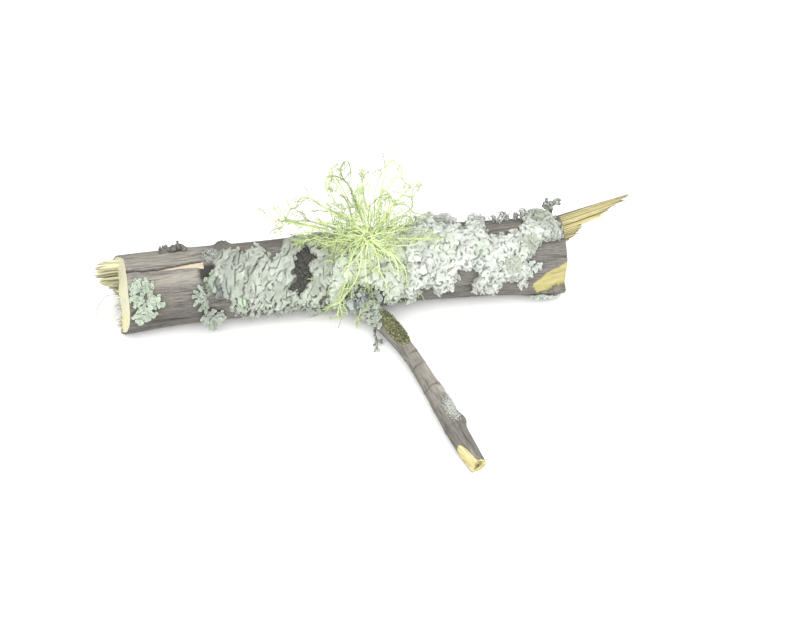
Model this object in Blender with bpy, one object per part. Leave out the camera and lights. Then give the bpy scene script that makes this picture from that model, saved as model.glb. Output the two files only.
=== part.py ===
"""A snapped stick with lichens on it, at life size, lying on its underside.

The stick runs along X with its side twig towards the viewer (-Y). The origin is on the surface that it
lies on, under the fork. Angles round the stick are in degrees: 0 faces the viewer (-Y), 90 is up and 180 is
the back.
"""

import math
import random

import bmesh
import bpy
from mathutils import Matrix, Vector, geometry, noise

# ---- Driving dimensions, in metres

BRANCH_LEFT, BRANCH_RIGHT = -0.0847, 0.0690
BRANCH_RADIUS = 0.0132
BRANCH_HEIGHT = 0.0129  # of its axis: a little less than the radius, so that it rests on a worn strip
BRANCH_BOW = 0.002  # how far the middle stands back from a line through the ends
LEFT_CUT_TURN, LEFT_CUT_LEAN = 0.15, 0.08  # slopes: the sawn end turns to the viewer and leans up
GAP = 0.0003  # between pieces that touch

SWELLINGS = [  # of the bark, as (x, angle, length, degrees round, height)
    (0.0005, -26, 0.0075, 32, 0.0012),  # the collar of the side twig
    (-0.0850, -42, 0.0130, 48, 0.0011),
    (0.0620, -52, 0.0075, 24, 0.0014),
]

TWIG_LENGTH = 0.081
TWIG_PATH = [
    (-0.0015, -0.0040, 0.0072),
    (0.0012, -0.0130, 0.0056),
    (0.0072, -0.0245, 0.0045),
    (0.0118, -0.0348, 0.0038),
    (0.0156, -0.0465, 0.0032),
    (0.0190, -0.0585, 0.0033),
    (0.0223, -0.0715, 0.0034),
    (0.0262, -0.0842, 0.0028),
]
TWIG_RADII = [0.0048, 0.0036, 0.0030, 0.0028, 0.0030, 0.0035, 0.0035, 0.0030]

TUFT_X, TUFT_ANGLE = 0.0016, 87
TUFT_REACH = 0.0315
HOLDFAST_RADIUS = 0.0026
STRAND_BASE, STRAND_TIP = 0.00052, 0.00016  # radii
STRAND_CLEARANCE = 0.0046  # between a strand and the bark that it hangs over

BARK = (0.235, 0.205, 0.185)
WOOD = (0.72, 0.60, 0.27)
SAGE = (0.52, 0.58, 0.49)
PALE = (0.68, 0.71, 0.66)
GREEN = (0.50, 0.60, 0.46)
SLATE = (0.36, 0.40, 0.40)
BEARD = (0.50, 0.62, 0.16)
BLACK = (0.03, 0.03, 0.028)
WHITE = (0.74, 0.76, 0.73)
MOSS = (0.14, 0.15, 0.035)

# ---- Scene, materials and collections

for old in list(bpy.data.objects):
    bpy.data.objects.remove(old)

model = bpy.data.collections.new("lichen_on_a_twig")
cutters = bpy.data.collections.new("cutters")
for collection in (model, cutters):
    bpy.context.scene.collection.children.link(collection)


def material(name, colour, roughness):
    made = bpy.data.materials.new(name)
    made.use_nodes = True
    shader = made.node_tree.nodes["Principled BSDF"]
    shader.inputs["Base Color"].default_value = (*colour, 1)
    shader.inputs["Roughness"].default_value = roughness
    shader.inputs["Metallic"].default_value = 0
    return made


BARK_MATERIAL = material("bark", BARK, 0.9)
WOOD_MATERIAL = material("bare_wood", WOOD, 0.7)


def add_object(name, mesh_source, *materials, collection=model):
    """Turns a bmesh into a named object with its normals facing out."""
    bmesh.ops.recalc_face_normals(mesh_source, faces=mesh_source.faces[:])
    mesh = bpy.data.meshes.new(name)
    mesh_source.to_mesh(mesh)
    mesh_source.free()
    for each in materials:
        mesh.materials.append(each)
    made = bpy.data.objects.new(name, mesh)
    collection.objects.link(made)
    if collection is not model:
        made.hide_render = True
        made.display_type = "WIRE"
    return made


def boolean(target, operation, other):
    """Adds a Boolean modifier that takes one object, or a whole collection of them."""
    modifier = target.modifiers.new(operation.lower(), "BOOLEAN")
    modifier.operation = operation
    modifier.solver = "EXACT"
    if isinstance(other, bpy.types.Collection):
        modifier.operand_type = "COLLECTION"
        modifier.collection = other
    else:
        modifier.object = other


# ---- Curves and the two bark surfaces that everything grows on


def through(points, share, closed=False):
    """The point at a share from 0 to 1 of a Catmull-Rom curve through the given points."""
    count = len(points)
    spans = count if closed else count - 1
    place = min(share, 1 - 1e-9) * spans
    first = int(place)
    t = place - first
    if closed:
        a, b, c, d = (points[(first + k) % count] for k in (-1, 0, 1, 2))
    else:
        a, b, c, d = (points[min(max(first + k, 0), count - 1)] for k in (-1, 0, 1, 2))
    return tuple(
        0.5
        * (
            2 * q
            + (r - p) * t
            + (2 * p - 5 * q + 4 * r - s) * t**2
            + (3 * q - p - 3 * r + s) * t**3
        )
        for p, q, r, s in zip(a, b, c, d)
    )


def branch_axis(x):
    """Where the stick's axis is at this x: (y, z)."""
    middle = (BRANCH_LEFT + BRANCH_RIGHT) / 2
    half = (BRANCH_RIGHT - BRANCH_LEFT) / 2
    return BRANCH_BOW * (1 - ((x - middle) / half) ** 2), BRANCH_HEIGHT


def branch_radius(x, angle):
    """The stick is not quite round, but its underside is even."""
    turn = math.radians(angle)
    uneven = 0.016 * math.cos(2 * turn + 30 * x)
    uneven += 0.012 * math.cos(3 * turn - 70 * x)
    uneven += 0.01 * math.cos(95 * x)
    uneven *= 1 - max(0, -math.sin(turn)) ** 3
    radius = BRANCH_RADIUS * (1 + uneven)
    for at, mid, length, width, height in SWELLINGS:
        around = ((angle - mid + 180) % 360 - 180) / width
        radius += height * math.exp(-(((x - at) / length) ** 2) - around**2)
    return radius


def on_branch(x, angle, height=0.0):
    """A point this high over the stick's bark."""
    turn = math.radians(angle)
    y, z = branch_axis(x)
    radius = branch_radius(x, angle) + height
    return Vector((x, y - radius * math.cos(turn), z + radius * math.sin(turn)))


def twig_frame(along):
    """(centre, direction, left, up, radius) of the side twig at this distance from its root."""
    share = along / TWIG_LENGTH
    centre = Vector(through(TWIG_PATH, share))
    ahead = Vector(through(TWIG_PATH, min(share + 0.01, 1)))
    behind = Vector(through(TWIG_PATH, max(share - 0.01, 0)))
    direction = (ahead - behind).normalized()
    left = direction.cross(Vector((0, 0, 1))).normalized()
    (radius,) = through([(r,) for r in TWIG_RADII], share)
    return centre, direction, left, left.cross(direction), radius


def on_twig(along, angle, height=0.0):
    """A point this high over the twig's bark. Angle 0 is the left side of the twig, and 90 is up."""
    centre, _, left, up, radius = twig_frame(along)
    turn = math.radians(angle)
    return centre + (radius + height) * (left * math.cos(turn) + up * math.sin(turn))


# ---- The stick: bark and wood in one, sawn at the left and snapped at the right

BRANCH_SIDES, BRANCH_STATIONS = 28, 23
TWIG_SIDES, TWIG_STATIONS = 12, 22


def tube(rings):
    """A closed bmesh through rings of points, with flat ends of bare wood."""
    made = bmesh.new()
    loops = [[made.verts.new(point) for point in ring] for ring in rings]
    for near, far in zip(loops, loops[1:]):
        for k in range(len(near)):
            made.faces.new((near[k], near[k - 1], far[k - 1], far[k]))
    for end in (loops[0], reversed(loops[-1])):
        made.faces.new(end).material_index = 1
    return made


def branch_body(extra=0.0):
    """The stick's bark surface, or one that stands a little outside it."""
    rings = []
    for station in range(BRANCH_STATIONS):
        share = station / (BRANCH_STATIONS - 1)
        x = BRANCH_LEFT + share * (BRANCH_RIGHT - BRANCH_LEFT)
        ring = [on_branch(x, 360 * k / BRANCH_SIDES, extra) for k in range(BRANCH_SIDES)]
        if station == 0:
            for point in ring:
                turned = LEFT_CUT_TURN * (point.y - branch_axis(x)[0])
                point.x -= turned - LEFT_CUT_LEAN * (point.z - BRANCH_HEIGHT) + extra
        if station == BRANCH_STATIONS - 1:
            for point in ring:
                point.x += extra
        rings.append(ring)
    return tube(rings)


def lath(name, base, tip, across, width, thickness, end_share, collection):
    """A lath of split wood from base to tip: this wide in the direction across, with a blunt end."""
    made = bmesh.new()
    run = Vector(tip) - Vector(base)
    quarter = Matrix.Rotation(math.pi / 4, 4, "Z")
    bmesh.ops.create_cone(
        made, cap_ends=True, segments=4, radius1=1, radius2=end_share, depth=1, matrix=quarter
    )
    along = run.normalized()
    deep = along.cross(Vector(across)).normalized()
    wide = deep.cross(along)
    for vert in made.verts:
        x, y, z = vert.co
        offset = wide * (x * 0.7071 * width) + deep * (y * 0.7071 * thickness)
        vert.co = Vector(base) + run * (z + 0.5) + offset
    return add_object(name, made, WOOD_MATERIAL, collection=collection)


# The fibres left standing on the back half of the sawn end: how far each stands out, from the top down
TORN_LENGTHS = [0.0046, 0.0078, 0.0096, 0.0070, 0.0064, 0.0042, 0.0027, 0.0016, 0.0010]
TORN_ROWS = [(0.0042, 0.0050, 1.0), (0.0082, 0.0042, 0.8)]  # (how far back, thickness, share of lengths)

# The laths of the long splinter at the right, from the bark inwards: (radius from the stick's axis, length)
SPLINTER_LATHS = [
    (0.0123, 0.0256),
    (0.0106, 0.0245),
    (0.0090, 0.0186),
    (0.0073, 0.0090),
    (0.0060, 0.0073),
    (0.0048, 0.0056),
]
SPLINTER_ANGLE = 135
SPLINTER_FLARE = 0.205  # how far it leans out from the stick's axis, as a slope
LATH_WIDTH, LATH_THICKNESS = 0.0026, 0.0042
ROOT = 0.004  # how deep a splinter's root is sunk in the stick

SCARF_X, SCARF_ANGLE, SCARF_SLOPE = 0.0575, -6, 12.5  # where bark and wood were sliced off at the right


def make_branch():
    additions = bpy.data.collections.new("splinters_and_knobs")
    cutters.children.link(additions)
    y, z = branch_axis(BRANCH_LEFT)
    for row, (back, thickness, share) in enumerate(TORN_ROWS):
        half = math.sqrt((0.96 * BRANCH_RADIUS) ** 2 - (back + 0.4 * thickness) ** 2)
        pitch = 2 * half / len(TORN_LENGTHS)
        for number, length in enumerate(TORN_LENGTHS):
            height = z + half - pitch * (number + 0.5)
            face_x = BRANCH_LEFT - LEFT_CUT_TURN * back + LEFT_CUT_LEAN * (height - z)
            base = (face_x + ROOT, y + back, height)
            tip = (face_x - share * length, y + back, height)
            lath(f"torn_{row}_{number}", base, tip, (0, 0, 1), 1.3 * pitch, thickness, 0.3, additions)
    turn = math.radians(SPLINTER_ANGLE)
    outward = Vector((0, -math.cos(turn), math.sin(turn)))
    y, z = branch_axis(BRANCH_RIGHT)
    for number, (radius, length) in enumerate(SPLINTER_LATHS):
        base = Vector((BRANCH_RIGHT - ROOT, y, z)) + outward * (radius - SPLINTER_FLARE * ROOT)
        tip = Vector((BRANCH_RIGHT + length, y, z)) + outward * (radius + SPLINTER_FLARE * length)
        lath(f"lath_{number}", base, tip, outward, LATH_WIDTH, LATH_THICKNESS, 0.45, additions)
    for number, (x, angle, size) in enumerate(((-0.0542, 83, 0.0025), (-0.0475, 112, 0.0015))):
        knob = bmesh.new()
        bmesh.ops.create_icosphere(knob, subdivisions=1, radius=size)
        for vert in knob.verts:
            vert.co = vert.co + on_branch(x, angle, 0.1 * size)
        add_object(f"knob_{number}", knob, BARK_MATERIAL, collection=additions)

    branch = add_object("branch", branch_body(), BARK_MATERIAL, WOOD_MATERIAL)
    scarf = bmesh.new()
    bmesh.ops.create_cube(scarf, size=0.03)
    slice_off = add_object("scarf_cutter", scarf, WOOD_MATERIAL, collection=cutters)
    slope, turn = math.radians(SCARF_SLOPE), math.radians(SCARF_ANGLE)
    outward = Vector(
        (math.sin(slope), -math.cos(slope) * math.cos(turn), math.cos(slope) * math.sin(turn))
    )
    slice_off.rotation_euler = outward.to_track_quat("X", "Z").to_euler()
    slice_off.location = on_branch(SCARF_X, SCARF_ANGLE) + outward * 0.015 + Vector((0.010, 0, 0))
    slice_off.location += outward * -0.010 * outward.x
    ground = bmesh.new()
    bmesh.ops.create_cube(ground, size=0.4)
    floor = add_object("ground_cutter", ground, BARK_MATERIAL, collection=cutters)
    floor.location = (0, 0, -0.2)
    boolean(branch, "UNION", additions)
    boolean(branch, "DIFFERENCE", slice_off)
    boolean(branch, "DIFFERENCE", floor)
    return branch


# ---- The side twig: one piece of wood and bark, torn at its end


def twig_radius(along, angle):
    """Low rings where leaves once stood, and a knob near the end."""
    radius = twig_frame(along)[4]
    rings = sum(math.exp(-(((along - at) / 0.0012) ** 2)) for at in (0.031, 0.0365, 0.0455, 0.057, 0.066))
    knob = math.exp(-(((along - 0.0645) / 0.002) ** 2)) * max(0, math.cos(math.radians(angle - 165))) ** 3
    return radius * (1 + 0.05 * rings + 0.30 * knob)


def make_side_twig(branch_outside):
    rings = []
    for station in range(TWIG_STATIONS):
        along = TWIG_LENGTH * station / (TWIG_STATIONS - 1)
        ring = []
        for k in range(TWIG_SIDES):
            angle = 360 * k / TWIG_SIDES + 15
            ring.append(on_twig(along, angle, twig_radius(along, angle) - twig_frame(along)[4]))
        rings.append(ring)
    for point in rings[-1]:
        point.z = max(point.z, 0.0)
    twig = add_object("side_twig", tube(rings), BARK_MATERIAL, WOOD_MATERIAL)
    tear = bmesh.new()
    bmesh.ops.create_cube(tear, size=0.02)
    cut = add_object("tear_cutter", tear, WOOD_MATERIAL, collection=cutters)
    centre, direction, left, up, radius = twig_frame(TWIG_LENGTH - 0.006)
    outward = (left * 0.85 + up * 0.45 + direction * 0.20).normalized()
    cut.rotation_euler = outward.to_track_quat("X", "Z").to_euler()
    cut.location = centre + outward * (0.010 + 0.45 * radius)
    boolean(twig, "DIFFERENCE", branch_outside)
    boolean(twig, "DIFFERENCE", cut)
    ground = bpy.data.objects["ground_cutter"]
    boolean(twig, "DIFFERENCE", ground)
    return twig


# ---- Leafy lichens, crusts and moss: sheets with a lobed edge, wrapped on the bark

POINTS_PER_LOBE = 4
BACK_STARTS = math.radians(88) * BRANCH_RADIUS  # the way round from the front to just before the top


def outline_points(controls, lobe, depth, seed):
    """A closed outline through the controls, unrolled into flat metres, with round lobes about this wide that
    stand this far out and narrow notches between them."""
    flat = [(x / 1000, math.radians(angle) * BRANCH_RADIUS) for x, angle in controls]
    dense = [Vector(through(flat, k / 400, closed=True)) for k in range(400)]
    lengths = [(dense[k] - dense[k - 1]).length for k in range(400)]
    perimeter = sum(lengths)
    lobes = max(3, round(perimeter / lobe))
    rng = random.Random(seed)
    sizes = [rng.uniform(0.6, 1.4) for _ in range(lobes)]
    total = lobes * POINTS_PER_LOBE
    points, travelled, wanted = [], 0.0, 0
    for k in range(400):
        travelled += lengths[k]
        while wanted < total and travelled >= perimeter * wanted / total:
            number, phase = divmod(wanted, POINTS_PER_LOBE)
            edge = dense[k] - dense[k - 1]
            outward = Vector((edge.y, -edge.x)).normalized()
            stands = sizes[number] * math.sin(math.pi * phase / POINTS_PER_LOBE) - 0.45
            points.append(dense[k] + outward * depth * stands)
            wanted += 1
    return points


def inside(point, outline):
    """Whether a flat point lies in a closed outline, by counting the edges to its right."""
    crossings = 0
    for a, b in zip(outline, outline[1:] + outline[:1]):
        if (a[1] > point[1]) != (b[1] > point[1]):
            if point[0] < a[0] + (point[1] - a[1]) * (b[0] - a[0]) / (b[1] - a[1]):
                crossings += 1
    return crossings % 2 == 1


def room(point, outline):
    """The distance from a flat point to the nearest edge of an outline."""
    best = 1.0
    for a, b in zip(outline, outline[1:] + outline[:1]):
        nearest, share = geometry.intersect_point_line(point, a, b)
        nearest = a if share < 0 else b if share > 1 else nearest
        best = min(best, (Vector(point) - Vector(nearest[:2])).length)
    return best


def wrapped_sheet(name, surface, outline, spacing, floor_height, relief, colour, roughness, hole=()):
    """A lobed sheet on a surface. Its underside stands off the bark by floor_height and its top by relief
    more, each a function of the flat point and of its distance from the edge."""
    points = [Vector(p) for p in outline] + [Vector(p) for p in hole]
    edges = [(k, (k + 1) % len(outline)) for k in range(len(outline))]
    first = len(outline)
    edges += [(first + k, first + (k + 1) % len(hole)) for k in range(len(hole))]
    lows = [min(p[axis] for p in outline) for axis in (0, 1)]
    highs = [max(p[axis] for p in outline) for axis in (0, 1)]
    row, y = 0, lows[1]
    while y < highs[1]:
        x = lows[0] + (row % 2) * spacing / 2
        while x < highs[0]:
            here = Vector((x, y))
            clear = not hole or (not inside(here, hole) and room(here, hole) > 0.55 * spacing)
            if clear and inside(here, outline) and room(here, outline) > 0.5 * spacing:
                points.append(here)
            x += spacing
        y += spacing * 0.866
        row += 1
    flat, _, triangles, *_ = geometry.delaunay_2d_cdt(points, edges, [], 0, 1e-7)
    sheet = bmesh.new()
    verts = [sheet.verts.new((p.x, p.y, 0)) for p in flat]
    for triangle in triangles:
        centre = sum((flat[k] for k in triangle), Vector((0, 0))) / 3
        if inside(centre, outline) and not (hole and inside(centre, hole)):
            sheet.faces.new([verts[k] for k in triangle])
    bmesh.ops.delete(sheet, geom=[v for v in sheet.verts if not v.link_faces], context="VERTS")
    under = set(sheet.verts)
    bmesh.ops.extrude_face_region(sheet, geom=sheet.faces[:], use_keep_orig=True)
    for vert in sheet.verts:
        flat_point = Vector(vert.co[:2])
        from_edge = room(flat_point, outline)
        if hole:
            from_edge = min(from_edge, room(flat_point, hole))
        height = floor_height(flat_point, from_edge)
        if vert not in under:
            height += relief(flat_point, from_edge)
        vert.co = surface(flat_point[0], flat_point[1], height)
    return add_object(name, sheet, material(name, colour, roughness))


def around_branch(x, across, height):
    return on_branch(x, math.degrees(across / BRANCH_RADIUS), height)


def ruffles(seed, size, amount, back_share=1.0):
    """A relief of rounded folds about this wide: thin at the edge, higher inside, lower at the back."""

    def relief(point, from_edge):
        place = Vector((point[0] / size, point[1] / size, seed))
        folds = 1 - abs(noise.noise(place)) * 1.8
        fine = noise.noise(place * 2.3)
        inner = min(1.0, from_edge / 0.003)
        over_the_top = min(1.0, max(0.0, (point[1] - BACK_STARTS) / 0.005))
        height = amount * (1 + (back_share - 1) * over_the_top)
        return 0.0006 + height * (0.35 + 0.65 * inner) * max(0.0, 0.55 * folds + 0.45 * fine)

    return relief


def lifted(seed, amount):
    """The underside clings to the bark, and lifts off it here and there along the edge."""

    def floor_height(point, from_edge):
        wave = 0.5 + 0.5 * noise.noise(Vector((point[0] / 0.004, point[1] / 0.004, seed + 9)))
        return GAP + 0.0002 + amount * wave * max(0.0, 1 - from_edge / 0.0025)

    return floor_height


# Outlines run anticlockwise, in millimetres along the stick and degrees round it
BLACK_HOLE = [
    (-20.6, 84), (-22.6, 77), (-24.7, 68), (-24.2, 60), (-25.9, 47), (-24.3, 40), (-25.6, 33),
    (-28.0, 23), (-25.2, 18), (-24.2, 10), (-23.0, 19), (-21.0, 29), (-19.6, 39), (-20.6, 51),
    (-20.0, 59), (-18.4, 65),
]
LEFT = [
    (-50.8, 90), (-52.6, 72), (-52.6, 60), (-55.4, 50), (-55.2, 38), (-53.4, 25), (-50.4, 21),
    (-48.0, 12), (-47.8, -8), (-43.8, -24), (-40.0, -31), (-36.1, -21), (-29.9, -24), (-24.1, -27),
    (-21.8, -18), (-19.6, -36), (-16.2, -16), (-15.2, 4), (-13.7, 28), (-12.7, 42), (-10.6, 65),
    (-9.6, 88), (-10.4, 108), (-16.0, 118), (-22.0, 114), (-27.7, 105), (-29.3, 90), (-30.9, 72),
    (-32.4, 66), (-33.6, 78), (-34.6, 88), (-35.9, 97), (-38.6, 94), (-40.9, 91), (-43.0, 82),
    (-44.3, 92), (-47.3, 96),
]
MIDDLE = [
    (-7.6, 84), (-8.9, 65), (-11.2, 42), (-12.3, 28), (-13.8, 4), (-14.2, -12), (-12.4, -24),
    (-10.2, -26), (-9.7, -12), (-9.4, 12), (-7.0, 20), (-2.4, 19), (2.6, 14), (5.0, 2), (6.0, -14),
    (8.0, -23), (9.8, -18), (10.2, -2), (10.2, 14), (11.2, 28), (11.4, 46), (10.6, 70), (7.6, 72),
    (3.8, 66), (-0.8, 67), (-4.0, 74), (-5.4, 84),
]
RIGHT = [
    (11.9, 8), (12.2, -6), (14.6, -16), (17.0, 4), (20.5, 9), (22.6, -4), (25.8, -7), (29.4, 2),
    (30.6, 22), (33.4, 20), (35.6, 8), (36.8, -6), (39.4, -13), (42.7, -22), (44.9, -8), (47.3, 8),
    (51.2, 7), (53.3, -6), (55.5, 2), (57.8, 14), (60.0, 25), (57.6, 33), (58.8, 41), (61.2, 47),
    (62.9, 60), (66.0, 63), (68.0, 66), (67.8, 82), (66.4, 106), (64.4, 126), (61.0, 131),
    (57.2, 134), (54.4, 122), (53.0, 102), (50.5, 84), (46.6, 76), (42.6, 79), (41.8, 98),
    (41.0, 122), (38.6, 134), (36.6, 116), (34.8, 94), (33.5, 104), (32.2, 126), (29.0, 136),
    (24.0, 134), (17.0, 118), (13.8, 98), (12.7, 70), (13.0, 40),
]
FORK = [
    (-8.5, -4), (-8.3, -20), (-6.6, -26), (-5.0, -12), (-1.2, -1), (2.4, -2), (3.2, 5), (-2.8, 11),
    (-7.6, 12),
]
END = [
    (-82.0, 33), (-81.4, 20), (-79.6, 14), (-80.7, 4), (-79.1, -4), (-77.8, 5), (-76.3, 2),
    (-75.2, 15), (-72.9, 12), (-70.3, 20), (-71.0, 31), (-74.0, 38), (-73.4, 56), (-77.2, 60),
    (-80.4, 55),
]
SMALL = [
    (-59.4, 14), (-57.2, 5), (-56.2, 11), (-56.0, 22), (-57.6, 30), (-58.8, 24),
]
HANGING = [
    (-57.2, -20), (-57.0, -33), (-54.6, -42), (-51.2, -36), (-50.6, -26), (-50.9, -11), (-52.6, -3),
    (-55.6, -8),
]

# name: (outline, lobe width, lobe depth, mesh spacing, fold size, fold height, edge lift, colour, seed)
LEAFY = {
    "left_leafy_lichen": (LEFT, 0.0050, 0.0008, 0.0030, 0.0040, 0.0019, 0.0010, SAGE, 1),
    "middle_leafy_lichen": (MIDDLE, 0.0044, 0.0005, 0.0030, 0.0045, 0.0014, 0.0008, GREEN, 2),
    "right_leafy_lichen": (RIGHT, 0.0050, 0.0008, 0.0032, 0.0044, 0.0021, 0.0011, PALE, 3),
    "fork_leafy_lichen": (FORK, 0.0042, 0.0004, 0.0024, 0.0032, 0.0014, 0.0008, SLATE, 4),
    "end_leafy_lichen": (END, 0.0040, 0.0003, 0.0026, 0.0036, 0.0010, 0.0006, GREEN, 5),
    "small_leafy_lichen": (SMALL, 0.0040, 0.0004, 0.0022, 0.0030, 0.0009, 0.0006, GREEN, 6),
    "hanging_leafy_lichen": (HANGING, 0.0040, 0.0005, 0.0025, 0.0034, 0.0012, 0.0006, GREEN, 12),
}


def hanging_down(point, from_edge):
    """The underside leaves the bark and hangs further from it lower down."""
    return GAP + 0.0002 + 0.34 * max(0.0, -0.0020 - point[1])


def make_leafy_lichens():
    for name, (controls, lobe, depth, spacing, fold, height, lift, colour, seed) in LEAFY.items():
        hole = outline_points(BLACK_HOLE, 0.0040, 0.0003, 7) if controls is LEFT else ()
        underside = hanging_down if controls is HANGING else lifted(seed, lift)
        outline = outline_points(controls, lobe, depth, seed)
        folds = ruffles(seed, fold, height, 0.3 if controls is LEFT else 1.0)
        wrapped_sheet(name, around_branch, outline, spacing, underside, folds, colour, 0.85, hole)


def inset(outline, distance):
    """The outline moved inwards by this distance all round."""
    moved = []
    for k, point in enumerate(outline):
        edge = (outline[(k + 1) % len(outline)] - outline[k - 1]).normalized()
        moved.append(point + Vector((-edge.y, edge.x)) * distance)
    return moved


TWIG_ROLL = 0.003  # the radius that outlines on the twig are unrolled at


def around_twig(along, across, height):
    angle = 90 + math.degrees(across / TWIG_ROLL)
    return on_twig(along, angle, twig_radius(along, angle) - twig_frame(along)[4] + height + 0.0001)


def flat_on_twig(controls, lobe, depth, seed):
    """An outline given in millimetres along the twig and degrees from its top, unrolled."""
    scaled = [(along, angle * TWIG_ROLL / BRANCH_RADIUS) for along, angle in controls]
    return outline_points(scaled, lobe, depth, seed)


def lumpy(least, most, rise, share, size):
    """A relief of crumbly lumps about this big, thin at the edge."""

    def relief(point, from_edge):
        lumps = abs(noise.noise(point.to_3d() / size))
        return least + most * min(1, from_edge / rise) * (share + lumps)

    return relief


def make_crusts_and_moss():
    black = inset(outline_points(BLACK_HOLE, 0.0040, 0.0003, 7), 0.0006)
    wrapped_sheet(
        "black_crust", around_branch, black, 0.0026,
        lambda point, edge: GAP + 0.0002,
        lumpy(0.0004, 0.0009, 0.002, 0.7, 0.0025),
        BLACK, 0.95,
    )
    wrapped_sheet(
        "dry_flake", around_branch,
        outline_points([(-70.5, 114), (-66.0, 107), (-61.5, 110), (-62.0, 119), (-66.0, 123), (-70.0, 119)],
                       0.0035, 0.0006, 8),
        0.0020,
        lambda point, edge: GAP + 0.0002,
        lumpy(0.0006, 0.0038, 0.0014, 0.5, 0.002),
        SLATE, 0.9,
    )
    wrapped_sheet(
        "moss", around_twig,
        flat_on_twig(
            [(13.5, 8), (17.5, -14), (22.0, -24), (26.5, -6), (27.8, 20), (26.5, 56), (20.5, 76), (14.5, 62)],
            0.0030, 0.0004, 9,
        ),
        0.0019,
        lambda point, edge: GAP + 0.0002,
        lambda point, edge: 0.0005 + 0.0010 * min(1, edge / 0.002),
        MOSS, 1.0,
    )
    wrapped_sheet(
        "twig_leafy_lichen", around_twig,
        flat_on_twig(
            [(12.4, -8), (12.0, -60), (14.5, -84), (18.5, -74), (20.0, -52), (17.0, -34), (14.0, -12)],
            0.0034, 0.0004, 10,
        ),
        0.0020, lifted(10, 0.0004), ruffles(10, 0.003, 0.0009), GREEN, 0.85,
    )
    wrapped_sheet(
        "white_crust", around_twig,
        flat_on_twig([(54.0, 30), (57.0, 6), (62.0, -4), (65.0, 22), (66.0, 52), (60.0, 62), (55.0, 58)],
                     0.0036, 0.0005, 11),
        0.0020, lifted(11, 0.0001), ruffles(11, 0.003, 0.0004), WHITE, 0.9,
    )


# ---- The beard lichen: a tuft of strands drawn out of one holdfast


def strand_direction(azimuth, elevation):
    a, e = math.radians(azimuth), math.radians(elevation)
    return Vector((math.cos(e) * math.cos(a), math.cos(e) * math.sin(a), math.sin(e)))


def strand_path(root, azimuth, elevation, length, curl, droop, shares):
    """Points along one strand: it sets off straight, bends sideways and down, and keeps clear of the bark."""
    heading = strand_direction(azimuth, elevation)
    side = heading.cross(Vector((0, 0, 1))).normalized()
    points, place, fine = [], root.copy(), 20
    for k in range(fine):
        share = (k + 0.5) / fine
        turned = heading + side * curl * 2 * share + Vector((0, 0, -droop * share))
        place = place + turned.normalized() * (length / fine)
        y, z = branch_axis(place.x)
        from_axis = Vector((0, place.y - y, place.z - z))
        least = BRANCH_RADIUS + STRAND_CLEARANCE
        if from_axis.length < least:
            place += from_axis.normalized() * (least - from_axis.length)
        points.append(place.copy())
    return [points[round(share * fine) - 1] for share in shares]


def main_strands():
    """(azimuth, elevation, length, curl, droop) of the tuft's main strands: a fan that reaches further to
    the left, and hangs over the front of the stick."""
    rng = random.Random(11)
    rows = []
    for ring, (elevation, count) in enumerate(((10, 13), (34, 11), (58, 8), (80, 4))):
        for k in range(count):
            azimuth = 360 * (k + 0.5 * (ring % 2)) / count + rng.uniform(-9, 9)
            flat = math.cos(math.radians(elevation))
            forward = max(0.0, -math.sin(math.radians(azimuth))) * flat
            leftward = -math.cos(math.radians(azimuth)) * flat
            length = TUFT_REACH * rng.uniform(0.78, 1.0) * (1 + 0.20 * leftward)
            droop = 0.15 + 2.2 * forward
            if elevation > 50:
                length *= 0.93
            rows.append((azimuth, elevation + rng.uniform(-6, 6), length, rng.uniform(-0.35, 0.35), droop))
    return rows


def draw_out(mesh, face, path, radii):
    """Draws a face of the mesh out along a path as a tapering strand. Returns the side faces of each step."""
    steps = []
    for point, radius in zip(path, radii):
        centre = face.calc_center_median()
        run = point - centre
        sides_before = set(mesh.faces)
        face = bmesh.ops.extrude_discrete_faces(mesh, faces=[face])["faces"][0]
        turn = face.normal.rotation_difference(run.normalized())
        for vert in face.verts:
            spoke = turn @ (vert.co - centre)
            vert.co = point + spoke.normalized() * radius
        face.normal_update()
        steps.append([f for f in mesh.faces if f not in sides_before and f is not face])
    return steps


STRAND_SHARES = [0.15, 0.40, 0.45, 0.65, 0.70, 1.0]  # a branchlet leaves each short step
BRANCHLET_STEPS = [2, 4]


def make_beard_lichen(branch_outside):
    tuft = bmesh.new()
    bmesh.ops.create_icosphere(tuft, subdivisions=2, radius=HOLDFAST_RADIUS)
    tuft.normal_update()
    centre = on_branch(TUFT_X, TUFT_ANGLE, 0.45 * HOLDFAST_RADIUS)
    bmesh.ops.translate(tuft, verts=tuft.verts[:], vec=centre)
    free = [f for f in tuft.faces if f.normal.z > -0.05]
    rng = random.Random(5)
    for azimuth, elevation, length, curl, droop in main_strands():
        heading = strand_direction(azimuth, max(elevation, 20))
        face = max(free, key=lambda f: f.normal.dot(heading))
        free.remove(face)
        root = face.calc_center_median()
        path = strand_path(root, azimuth, elevation, length, curl, droop, STRAND_SHARES)
        radii = [STRAND_BASE + (STRAND_TIP - STRAND_BASE) * share for share in STRAND_SHARES]
        sides = draw_out(tuft, face, path, radii)
        for step in BRANCHLET_STEPS:
            quad = rng.choice(sides[step])
            quad.normal_update()
            start = quad.calc_center_median()
            heading = (quad.normal + (path[step] - path[step - 1]).normalized() * 1.2).normalized()
            reach = length * rng.uniform(0.20, 0.30)
            end = start + heading * reach + Vector((0, 0, 0.06 * reach))
            draw_out(tuft, quad, [start + heading * reach * 0.5, end], [0.00026, 0.00014])
    made = add_object("beard_lichen", tuft, material("beard_lichen", BEARD, 0.8))
    boolean(made, "DIFFERENCE", branch_outside)
    return made


# ---- Small shrubby sprigs


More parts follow.
